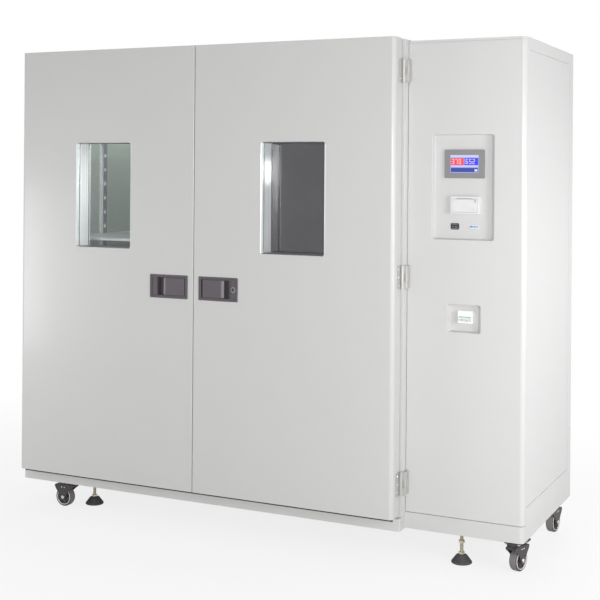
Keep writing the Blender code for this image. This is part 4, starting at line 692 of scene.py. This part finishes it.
def cabinet():
    """Chamber case with its folded front return; the base with a black strip under the doors as painted
    shadow, the castors' plates and the feet's bushes.
    """
    x0, y0, z0 = case_low
    x1, y1, z1 = case_high
    shell = block(x0, x1, y0, y1, z0, z1)
    hollow = block(x0 + SHEET, x1 - SHEET, y0 + SHEET, y1 - SHEET, z0 + SHEET, z1 - SHEET)
    fold = 0.045
    mouth = block(x0 + fold, x1 - fold, y0 - PAST, y0 + PAST, z0 + fold, z1 - fold)
    piece("chamber_casing", shell, case_paint, "cabinet", "white_paint", ("outer_case",), edge=0.0015,
          steps=[cut(hollow), cut(mouth)])
    outline = rounded(base_low.x, x1, base_low.y, y1, (0.004, 0.004, 0, 0), 8)
    beam = prism(outline, "Z", BASE_BOTTOM, z0 - SEAT)
    outline = rounded(x1 - 0.05, base_high.x, COLUMN_FRONT, y1, (0, BEND, 0, 0), 12)
    plinth = prism(outline, "Z", BASE_BOTTOM, panel_low.z - 0.0016)
    bores = [cut(rod(BORE, (x, y, BASE_BOTTOM - PAST), (x, y, BASE_BOTTOM + 0.037), 32))
             for x, y in FEET.values()]
    piece("base_and_plinth", beam, case_paint, "cabinet", "white_paint", ("base_frame",), edge=0.0012,
          steps=[join(plinth)] + bores)
    front = base_low.y
    # A black strip on the top of the base's front, just under the doors, is a painted shadow: it stands for
    # the shade the doors' overhang casts there.
    sill_shadow_strip = block(base_low.x + 0.004, x1 - 0.027, front - 0.0025, front - 0.0001, z0 - 0.0125, z0 - 0.001)
    piece("door_sill_painted_shadow", sill_shadow_strip, sill_shadow_rubber, "cabinet", "seal_rubber", edge=0.0006, segments=2)
    for n, name in enumerate(CASTORS):
        x, y = wheel_frame(name)[0].xy
        outline = rounded(x - 0.03, x + 0.03, y - 0.03, y + 0.03, 0.008)
        sheet = prism(outline, "Z", BASE_BOTTOM - 0.004, BASE_BOTTOM - 0.0002)
        bolts = [moved(turned(mm((5.5, -8.5), (6, -8), (6, -4)), 6), at(x + a, y + b, BASE_BOTTOM))
                 for a, b in mm((-23.5, -23.5), (23.5, -23.5), (23.5, 23.5), (-23.5, 23.5))]
        piece("castor_plate_%d" % (n + 1), sheet, castor_paint, "cabinet", "castor_black", edge=0.0006)
        piece("castor_plate_bolts_%d" % (n + 1), gather(bolts), zinc_steel, "cabinet", "castor_black",
              edge=0.0004)
    for n, (x, y) in enumerate(FEET.values()):
        bush = turned([(BORE, 0)] + mm((6.9, -14), (9.5, -14), (10.5, -13), (10.5, 0)), 32, bored=True)
        bush = moved(bush, at(x, y, BASE_BOTTOM))
        piece("foot_bush_%d" % (n + 1), bush, zinc_steel, "cabinet", "castor_black")


def column():
    """Folded front sheet with two pressed recesses, the cover, the side hatch and the louvres."""
    x0, x1 = panel_low.x, panel_high.x
    front, rear = panel_low.y, panel_high.y
    skin = prism(rounded(x0, x1, front, rear, (0.003, BEND, 0, 0), 12), "Z", panel_low.z, panel_high.z)
    inner = rounded(x0 + SHEET, x1 - SHEET, front + SHEET, rear + PAST, (0.001, BEND - SHEET, 0, 0), 12)
    hollow = prism(inner, "Z", panel_low.z - PAST, panel_high.z + PAST)
    pans, dishes = [], []
    for width, height, x, z in RECESSES:
        mouth = (x - width / 2, x + width / 2, z - height / 2, z + height / 2)
        pans.append(join(dished(mouth, front, 0.001, RECESS_DEPTH + SHEET, SHEET)))
        dishes.append(cut(dished(mouth, front, -PAST, RECESS_DEPTH)))
    piece("column_front_sheet", skin, column_paint, "cabinet", "white_paint", ("front_panel",), edge=0.0018,
          steps=[cut(hollow)] + pans + dishes, segments=4)

    left, right, low, top = front_of(column_low, column_high)
    side_front, back = rear + SEAT, column_high.y
    wall = block(left, right, side_front, back, low, top - 0.005)
    cap = prism(rounded(left, right, front, back, (0.003, BEND, 0, 0), 12), "Z", top - 0.009, top)
    bay = block(left + SHEET, right - 0.004, side_front - PAST, back - SHEET, low - PAST, top - 0.009)
    hatch = (side_low.y, side_high.y, side_low.z, side_high.z)
    rebate = block(right - 0.0023, right + PAST, *within(hatch, -0.0025))
    slots = []
    for n in range(10):
        z = low + 0.055 + n * 0.03
        slot = rounded(COLUMN_X - 0.15, COLUMN_X + 0.15, z, z + 0.01, 0.0045, 4)
        slots.append(cut(prism(slot, "Y", back - PAST, back + PAST)))
    piece("machine_casing", wall, column_paint, "cabinet", "white_paint", ("machine_case",), edge=0.0012,
          steps=[join(cap), cut(bay), cut(rebate)] + slots)
    lid = prism(rounded(*hatch, 0.003, 4), "X", side_low.x, side_high.x)
    piece("side_hatch", lid, column_paint, "cabinet", "white_paint", ("side_panel",), edge=0.0008)


def screen():
    """Touch screen: bezel with a stepped edge, glass, and a picture of plain blocks."""
    rect = front_of(screen_low, screen_high)
    front = screen_low.y
    bezel = plate(rect, ((screen_high.y, 0, 0.004), (front + 0.0012, 0, 0.004), (front, 0.0016, 0.0032)))
    low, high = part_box("screen_glass")
    x, z, surface = low.x, low.z, low.y
    wide, tall = high.x - x, high.z - z
    well = block(x - SEAT, high.x + SEAT, front - PAST, high.y + SEAT, z - SEAT, high.z + SEAT)
    piece("screen_bezel", bezel, screen_plastic, "cabinet", "screen_grey", ("screen_housing",), edge=0.0004,
          steps=[cut(well)], segments=2)
    backing = block(x, x + wide, surface, high.y, z, z + tall)
    lavender = lit("screen_lavender", (0.42, 0.44, 0.86), 0.75)
    piece("screen_face", backing, lavender, "cabinet", "display_glass", ("screen_glass",))
    blocks = (("head", 0, 1, 0.88, 1, (0.6, 0.62, 0.95), 0.85),
              ("warm", 0.02, 0.475, 0.44, 0.83, (0.92, 0.07, 0.1), 0.85),
              ("cool", 0.505, 0.985, 0.44, 0.83, (0.03, 0.06, 0.9), 0.85),
              ("strip", 0.02, 0.98, 0.33, 0.41, (0.62, 0.64, 0.95), 0.8),
              ("bar", 0.02, 0.98, 0.045, 0.285, (0.045, 0.075, 0.42), 0.7),
              ("key", 0.86, 0.96, 0.09, 0.2, (0.75, 0.8, 0.98), 0.9))
    for label, a0, a1, b0, b1, colour, glow in blocks:
        lift = 0.00018 if label != "key" else 0.0003
        tile = block(x + wide * a0, x + wide * a1, surface - lift, surface - 0.00002,
                     z + tall * b0, z + tall * b1)
        finish = lit("screen_" + label, colour, glow)
        piece("screen_" + label + "_block", tile, finish, "cabinet", "display_glass")
    digits(x + wide * 0.055, z + tall * 0.5, surface - 0.0002, "370", "warm")
    digits(x + wide * 0.545, z + tall * 0.5, surface - 0.0002, "652", "cool")


def digits(x, z, y, text, label):
    """Seven-bar figures for the two readings."""
    bars = {"0": "abcdef", "2": "abged", "3": "abgcd", "5": "afgcd", "6": "afgedc", "7": "abc"}
    wide, high, t = 0.0088, 0.0185, 0.0021
    mid = high / 2
    shapes = {"a": (0, wide, high - t, high), "g": (0, wide, mid - t / 2, mid + t / 2), "d": (0, wide, 0, t),
              "b": (wide - t, wide, mid, high), "c": (wide - t, wide, 0, mid),
              "f": (0, t, mid, high), "e": (0, t, 0, mid)}
    made = []
    for n, figure in enumerate(text):
        for bar in bars[figure]:
            a0, a1, b0, b1 = shapes[bar]
            left = x + n * wide * 1.5
            lift = 0.00002 * (ord(bar) - ord("a"))
            made.append(block(left + a0, left + a1, y - 0.00008 - lift, y, z + b0, z + b1))
    finish = lit("screen_figures_" + label, (0.95, 0.66, 0.72), 0.8)
    piece("screen_" + label + "_digits", gather(made), finish, "cabinet", "display_glass")


def printer():
    """Ticket printer body with its paper slot, lid and latch mark."""
    rect = front_of(printer_low, printer_high)
    front, rear = printer_low.y, printer_high.y
    body = plate(rect, ((rear, 0, 0.0025), (front + 0.001, 0, 0.0025), (front, 0.001, 0.002)))
    low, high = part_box("printer_lid")
    gap, radius = 0.0005, 0.003
    well = block(low.x - gap, high.x + gap, front - PAST, high.y + gap, low.z - gap, high.z + gap)
    x, top, face = (low.x + high.x) / 2, high.z, low.y
    slot = block(x - 0.031, x + 0.031, front - PAST, rear - 0.003, top - 0.002, top + 0.0025)
    piece("printer_case", body, printer_plastic, "cabinet", "printer_white", ("printer_body",), edge=0.0004,
          steps=[cut(well), cut(slot)], segments=2)
    outline = arc((face + radius, low.z + radius), radius, 180, 360, 16)
    outline += [(high.y, top), (face + 0.0015, top), (face, top - 0.0015)]
    cover = prism(outline, "X", low.x, high.x)
    piece("printer_cover", cover, printer_plastic, "printer_lid", "printer_white", ("printer_lid",),
          edge=0.0005, segments=2)
    outline = rounded(high.x - 0.0115, high.x - 0.0045, top - 0.013, top - 0.002, 0.002, 4)
    thumb = prism(outline, "Y", face - 0.0016, face - 0.0001)
    piece("printer_thumb_latch", thumb, printer_shade, "printer_lid", "printer_white", edge=0.0005)
    near, far = face - 0.0004, face - 0.0001
    mark = ring(high.x - 0.016, high.x - 0.011, low.z + 0.006, low.z + 0.011, 0.0022,
                [(0, far), (0, near), (0.0008, near), (0.0008, far)], 4)
    piece("printer_feed_mark", mark, printer_shade, "printer_lid", "printer_white")
    teeth = block(x - 0.03, x + 0.03, front - 0.0004, front + 0.0006, top + 0.0026, top + 0.0032)
    piece("printer_tear_edge", teeth, bright_steel, "cabinet", "chrome")
    paper = block(x - 0.0285, x + 0.0285, front - 0.0006, front + 0.009, top + 0.0009, top + 0.0012)
    piece("printer_paper", paper, printer_plastic, "cabinet", "printer_white")


def switch():
    """Rocker with its rim and two plain marks."""
    floor = screen_high.y + SEAT
    low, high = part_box("power_rocker")
    x, z = (low.x + high.x) / 2, 1.252
    lip = floor - 0.003
    rim = ring(x - 0.0128, x + 0.0128, z - 0.0085, z + 0.0085, 0.001,
               [(0, floor), (0, lip), (0.0022, lip), (0.0032, floor - 0.0018), (0.0032, floor)])
    piece("switch_rim", rim, switch_plastic, "cabinet", "switch_black")
    pivot, face, reach, steps = floor - 0.003, floor - 0.0055, 0.0073, 12
    dip = reach * sin(radians(12))
    outline = [(pivot + 0.001, z), (pivot, z - reach)]
    for n in range(steps + 1):
        depth = face + dip * ((1 - n / steps) ** 1.6 * 0.92 + 0.125)
        outline.append((depth, z - reach + 2 * reach * n / steps))
    rocker = prism(outline + [(pivot, z + reach)], "X", low.x, high.x)
    piece("switch_rocker", rocker, switch_plastic, "power_rocker", "switch_black", ("power_rocker",),
          edge=0.0004, segments=2)
    line = block(x - 0.0065, x - 0.0055, face + 0.0006, face + 0.003, z - 0.0022, z + 0.0022)
    circle = turned(mm((1.8, -1.2), (2.6, -1.2), (2.6, 1.2), (1.8, 1.2)), 32, bored=True)
    circle.transform(at(x + 0.006, face + 0.0018, z) @ spin(90, "X"))
    piece("switch_marks", gather([line, circle]), printer_plastic, "power_rocker", "printer_white")


def port():
    """Data connector with its hood, pins and jack screws."""
    x, z = (port_low.x + port_high.x) / 2, (port_low.z + port_high.z) / 2
    rear = port_high.y
    sheet = prism(rounded(*front_of(port_low, port_high), 0.002, 6), "Y", rear - 0.0012, rear)
    piece("port_plate", sheet, trim_steel, "cabinet", "port_blue", ("data_port",), edge=0.0003)

    def tapered(wide, tall, start, end):
        """The hood's outline, scaled and pushed between two depths in front of the panel."""
        corners = mm((-8.8, 4.3), (-7.4, -4.3), (7.4, -4.3), (8.8, 4.3))
        return prism([(x + a * wide, z + b * tall) for a, b in corners], "Y", rear - start, rear - end)
    piece("port_shell", tapered(1, 1, 0.006, 0.001), bright_steel, "cabinet", "port_blue", edge=0.0003,
          steps=[cut(tapered(0.9, 0.8, PAST, 0.0025))])
    pins = [(n - 2, 0.0014) for n in range(5)] + [(n - 1.5, -0.0014) for n in range(4)]
    pins = [(x + n * 0.00275, z + rise) for n, rise in pins]
    holes = [rod(0.00045, (a, rear - 0.008, b), (a, rear - 0.004, b), 10) for a, b in pins]
    piece("port_insert", tapered(0.88, 0.78, 0.0064, 0.002), port_plastic, "cabinet", "port_blue",
          steps=[cut(gather(holes))])
    screws = [prism(arc((x + along, z), 0.0026, 0, 300, 5), "Y", rear - 0.005, rear - 0.001)
              for along in (-0.0122, 0.0122)]
    piece("port_jack_screws", gather(screws), switch_plastic, "cabinet", "port_blue", edge=0.0003)


def breaker():
    """Three-pole breaker: split nose, wells and the tied toggles."""
    x0, x1, z0, z1 = front_of(breaker_low, breaker_high)
    front = breaker_low.y
    x, z = (x0 + x1) / 2, (z0 + z1) / 2 - 0.006
    left, right, near = x0 - PAST, x1 + PAST, front - PAST
    cuts = [block(x - 0.024, x + 0.024, near, front + 0.01, z - 0.009, z + 0.009),
            block(left, right, near, front + 0.004, z0 - PAST, z0 + 0.004),
            block(left, right, near, front + 0.004, z1 - 0.004, z1 + PAST)]
    for split in (x - 0.009, x + 0.009):
        cuts.append(block(split - 0.0003, split + 0.0003, near, front + 0.0008, z0 - PAST, z1 + PAST))
    case = block(x0, x1, front, breaker_high.y, z0, z1)
    piece("breaker_case", case, breaker_plastic, "cabinet", "breaker_white", ("breaker_body",), edge=0.0005,
          steps=[cut(shape) for shape in cuts], segments=2)
    y = front + 0.00245
    drum = rod(0.007, (x - 0.0232, y, z), (x + 0.0232, y, z), 40)
    tilt = at(0, y, z) @ spin(28, "X")
    profile = mm((-3.5, -2.4), (-3.5, 2.4), (-12, 2.1), (-13.8, 0.8), (-13.8, -1), (-12, -2.3))
    arms = [prism(profile, "X", start, start + 0.011) for start in (x - 0.0215, x - 0.0055, x + 0.0105)]
    arms.append(rod(0.0012, (x - 0.0205, -0.0098, 0), (x + 0.0205, -0.0098, 0), 12))
    piece("breaker_levers", drum, toggle_plastic, "breaker_toggles", "toggle_grey", ("breaker_toggles",),
          edge=0.0004, steps=[join(moved(shape, tilt)) for shape in arms], segments=2)


# Castors and feet

def wheel_frame(name):
    """Swivel place, wheel centre and heading of a castor, read from its joints."""
    roll = JOINTS[name + "_roll"]
    axle, up = Vector(roll["axis"]), Vector((0, 0, 1))
    turn = Matrix((axle.cross(up), axle, up)).transposed().to_4x4()
    return Vector(JOINTS[name + "_swivel"]["pos_m"]), Vector(roll["pos_m"]), turn


def castor(name):
    """Pressed fork with its swivel race, rivets and axle bolt, and the wheel in it."""
    swivel, centre, turn = wheel_frame(name)
    place = at(swivel.x, swivel.y, 0) @ turn
    carrier = name + "_castor"
    trail, rise, half = (centre - swivel).xy.length, 0.041, 0.021
    outline = arc((trail, rise), 0.0125, 200, 340, 16)
    outline += mm((52, 57), (66, 76), (71.5, 87), (70, 91.5), (66, 94),
                  (-24, 94), (-24, 85), (-12, 77), (3, 64))
    fork = moved(prism(outline, "Y", -half, half), place)
    slot = moved(block(-1, 1, -0.018, 0.018, -1, 0.086), place)
    piece(name + "_fork_pressing", fork, castor_paint, carrier, "castor_black", (name + "_fork",),
          edge=0.0014, steps=[cut(slot)])
    top = BASE_BOTTOM - 0.0043
    race = mm((18, 93.5), (24.5, 94), (26.2, 96.5), (26.2, 98.5), (24, 99.5), (24, 101.5), (26.2, 102.5))
    race = turned(race + [(0.0262, top - 0.001), (0.025, top)])
    piece(name + "_swivel_race", moved(race, place), castor_paint, carrier, "castor_black")

    def heads(profile, segments, along, height):
        """Heads of one kind on both cheeks of the fork."""
        return [moved(turned(mm(*profile), segments),
                      place @ at(along, side * half, height) @ spin(-90 * side, "X")) for side in (-1, 1)]
    rivet = ((3, -0.4), (3, 0.4), (2.2, 1.3), (0.8, 1.6))
    rivets = heads(rivet, 20, 0.02, 0.0835) + heads(rivet, 20, 0.0345, 0.0835)
    piece(name + "_hood_rivets", gather(rivets), zinc_steel, carrier, "castor_black")
    bolt = heads(((5, 0), (7.5, 0), (7.5, 2.2), (6, 3.8), (2.5, 4.4)), 32, trail, rise)
    bolt.append(moved(rod(0.005, (trail, -half, rise), (trail, half, rise), 20), place))
    piece(name + "_axle", gather(bolt), zinc_steel, carrier, "castor_black")
    wheel(name, place @ at(trail, 0, rise) @ spin(90, "X"))


def wheel(name, spot):
    """Tread, tyre walls, two pale rings and a dished, ribbed hub."""
    def part(label, shells, finish, replaces=()):
        piece(name + label, moved(gather(shells), spot), finish, name + "_wheel", "tread_grey", replaces)

    def even(profile, segments):
        return turned(profile + [(r, -z) for r, z in reversed(profile)], segments, bored=True)

    def pair(profile):
        return [turned([(r, side * z) for r, z in profile], 72, bored=True) for side in (-1, 1)]

    def shoulder(radius, *angles):
        return [(0.035 + radius * sin(a), 0.009 + radius * cos(a)) for a in angles]
    tread = mm((33.5, 14.2), (35.2, 15)) + shoulder(0.006, 0.2, 0.5, 0.8, 1.1, 1.35, pi / 2)
    part("_tyre", [even(tread, 72)], tread_rubber, (name + "_wheel",))
    wall = mm((33.6, 14.4)) + shoulder(0.0062, 0, 0.3, 0.6, 0.9) + mm((38.5, 8.5), (33.6, 8.5))
    part("_tyre_walls", pair(wall), sidewall_rubber)
    rim = mm((31.2, 12), (33.4, 12), (33.4, 15.2), (32.7, 15.8), (31.8, 15.8), (31.2, 15))
    part("_rings", pair(rim), ring_plastic)
    hub = mm((5.4, 17), (11, 17), (11.8, 16), (12.5, 10.5), (27.5, 9), (29.7, 12.5), (31.1, 13.2))
    shells = [even(hub, 60)]
    for n in range(6):
        for low in (-0.0128, 0.0085):
            rib = block(0.0118, 0.029, -0.0011, 0.0011, low, low + 0.0043)
            shells.append(moved(rib, spin(60 * n, "Z")))
    part("_hub", shells, hub_plastic)


def brake_pedal():
    """The front right castor's brake: a stepped tread with grooves."""
    place = at(*JOINTS["brake_pedal_hinge"]["pos_m"]) @ wheel_frame("front_right")[2]
    outline = arc((0, 0), 0.003, 90, 270, 12)
    outline += mm((17, -3), (30.5, 0.4), (33, 3.6), (31.5, 6.2), (29, 6.6), (17, 3))
    grooves = []
    for n in range(3):
        x = 0.0205 + 0.0032 * n
        grooves.append(cut(moved(block(x, x + 0.001, -0.02, 0.02, 0.0038 + 0.001 * n, 0.02), place)))
    tread = moved(prism(outline, "Y", -0.01, 0.01), place)
    piece("brake_tread", tread, castor_paint, "brake_pedal", "castor_black", ("front_right_brake_pedal",),
          edge=0.0008, steps=grooves)


def foot(name, x, y):
    """Ribbed rubber pad, threaded stem and two hexagon nuts."""
    spot, carrier, top = at(x, y, 0), name + "_foot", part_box(name + "_foot")[1].z
    shells = [turned(mm((36.5, 0), (38.5, 1.5), (39, 4.5), (38.2, 6.8), (34, 10), (30, 14), (26.2, 19),
                        (22.8, 24.5), (19.5, 29), (17.2, 31.2), (14, 32)), 64)]
    for n in range(24):
        rib = prism(mm((19.6, 27), (36.8, 6), (37.6, 7.2), (20.6, 29.6)), "Y", -0.0009, 0.0009)
        shells.append(moved(rib, spin(15 * n, "Z")))
    piece(name + "_pad", moved(gather(shells), spot), pad_rubber, carrier, "pad_rubber", (name + "_foot",))
    crest, root, pitch = 0.0064, 0.0057, 0.0018
    thread, z = [(0.0052, 0.03)], 0.031
    while z < top - pitch:
        thread += [(root, z), (crest, z + pitch * 0.45), (crest, z + pitch * 0.55)]
        z += pitch
    thread += [(root, z), (0.0048, top - 0.0005)]
    piece(name + "_stem", moved(turned(thread, 32), spot), zinc_steel, carrier, "pad_rubber")
    nuts = [prism(arc((0, 0), 0.0122, 0, 300, 5), "Z", low, low + 0.0085) for low in (0.0325, 0.0755)]
    piece(name + "_nuts", moved(gather(nuts), spot), zinc_steel, carrier, "pad_rubber", edge=0.0009)


# Chamber

def upright_tabs():
    """Pale folded tabs in the slots of the left ladder, their paleness a painted glint, but for those that a
    shelf hides.
    """
    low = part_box("shelf_uprights")[0]
    shelves = [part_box(name)[0].z for name in ("lower_shelf", "middle_shelf", "upper_shelf")]
    tabs = []
    for y in (low.y + 0.015, low.y + 0.303):
        for n in range(20):
            z = low.z + 0.065 * (n + 0.6)
            if all(abs(z - shelf) > 0.03 for shelf in shelves):
                outline = rounded(y - 0.0066, y + 0.0066, z - 0.008, z + 0.006, 0.003, 4)
                tabs.append(prism(outline, "X", low.x + 0.0024, low.x + 0.0108))
    piece("upright_slot_tabs", gather(tabs), glint_tab_finish, "cabinet", "stainless", edge=0.0006, segments=2)


def chamber():
    upright_tabs()
    refinish(liner_steel, "inner_liner", "centre_post", "air_duct_panel", "left_door_liner",
             "right_door_liner")
    refinish(upright_steel, "shelf_uprights")
    refinish(shelf_steel, "lower_shelf", "middle_shelf", "upper_shelf")
    refinish(foam, "insulation")
    refinish(seal_rubber, "left_door_seal", "right_door_seal")
    refinish(window_glass, "left_outer_pane", "left_inner_pane", "right_outer_pane")
    # The right inner pane gets the near-black glass as painted shade; the left door's panes stay clear.
    refinish(painted_shade_glass, "right_inner_pane")
    refinish(fan_plastic, "circulation_fan")
    refinish(zinc_steel, "fan_motor")
    refinish(castor_paint, "condensing_unit")


# Studio

def studio():
    """White floor, the room's light, the lamps and the photograph's camera."""
    floor = new_object("studio_floor", to_mesh("studio_floor", block(-14, 14, -10, 14, -0.02, 0)))
    floor.data.materials.append(floor_paint())
    surroundings()
    for row in LAMPS:
        lamp(*row)
    view = bpy.data.cameras.new("photograph_view")
    view.lens = CAMERA_LENS
    view.sensor_width = 36
    view.shift_y = CAMERA_SHIFT
    view.clip_end = 60
    camera = new_object("photograph_view", view)
    camera.matrix_world = at(*CAMERA) @ spin(CAMERA_TURN, "Z") @ spin(90, "X") @ spin(CAMERA_ROLL, "Z")
    bpy.context.scene.camera = camera
    bpy.context.scene.view_settings.view_transform = "Standard"


def floor_paint():
    """Matt white that keeps a shadow near the object and fades to the background's white."""
    finish = Finish("studio_floor", (0.74, 0.74, 0.74), 0.8, Specular_IOR_Level=0.1)
    distance = finish.node("VectorMath", {"operation": "LENGTH"}, {0: finish.place((0.62, 1, 0))}, 1)
    far = finish.ramp(distance * 0.25, (0.2, 0.8), (0.6, 1))
    white = finish.node("Emission", None, {"Color": (1, 1, 1, 1), "Strength": 1})
    paint = Signal(finish, finish.shader.outputs[0])
    seen = finish.node("MixShader", None, {0: finish.plainly_seen() * far, 1: paint, 2: white})
    finish.feed(finish.tree.nodes["Material Output"].inputs["Surface"], seen)
    return finish.material


def surroundings():
    """Soft grey light on the object, plain white to the camera and in clear reflections."""
    world = bpy.data.worlds.new("studio_world")
    bpy.context.scene.world = world
    world.use_nodes = True
    room = Shading(world.node_tree)
    room.tree.nodes.clear()
    white = (1, 1, 1, 1)
    ambient = room.node("Background", None, {"Color": white, "Strength": AMBIENT})
    backdrop = room.node("Background", None, {"Color": white, "Strength": 1})
    mixed = room.node("MixShader", None, {0: room.plainly_seen(), 1: ambient, 2: backdrop})
    room.node("OutputWorld", None, {"Surface": mixed})


def lamp(name, place, aim, wide, tall, power):
    """An area lamp; one up to SPOT_WIDTH wide has a narrow beam and no reflection."""
    data = bpy.data.lights.new(name, "AREA")
    data.shape = "RECTANGLE"
    data.size = wide
    data.size_y = tall
    data.energy = power
    data.spread = pi if wide > SPOT_WIDTH else radians(50)
    obj = new_object(name, data)
    obj.location = place
    obj.rotation_euler = (Vector(aim) - Vector(place)).to_track_quat("-Z", "Y").to_euler()
    obj.visible_camera = False
    obj.visible_glossy = wide > SPOT_WIDTH


for door_name, door_side in (("left", -1), ("right", 1)):
    door(door_name, door_side)
cabinet()
column()
screen()
printer()
switch()
port()
breaker()
for castor_name in CASTORS:
    castor(castor_name)
    foot(castor_name, *FEET[castor_name])
brake_pedal()
chamber()
studio()
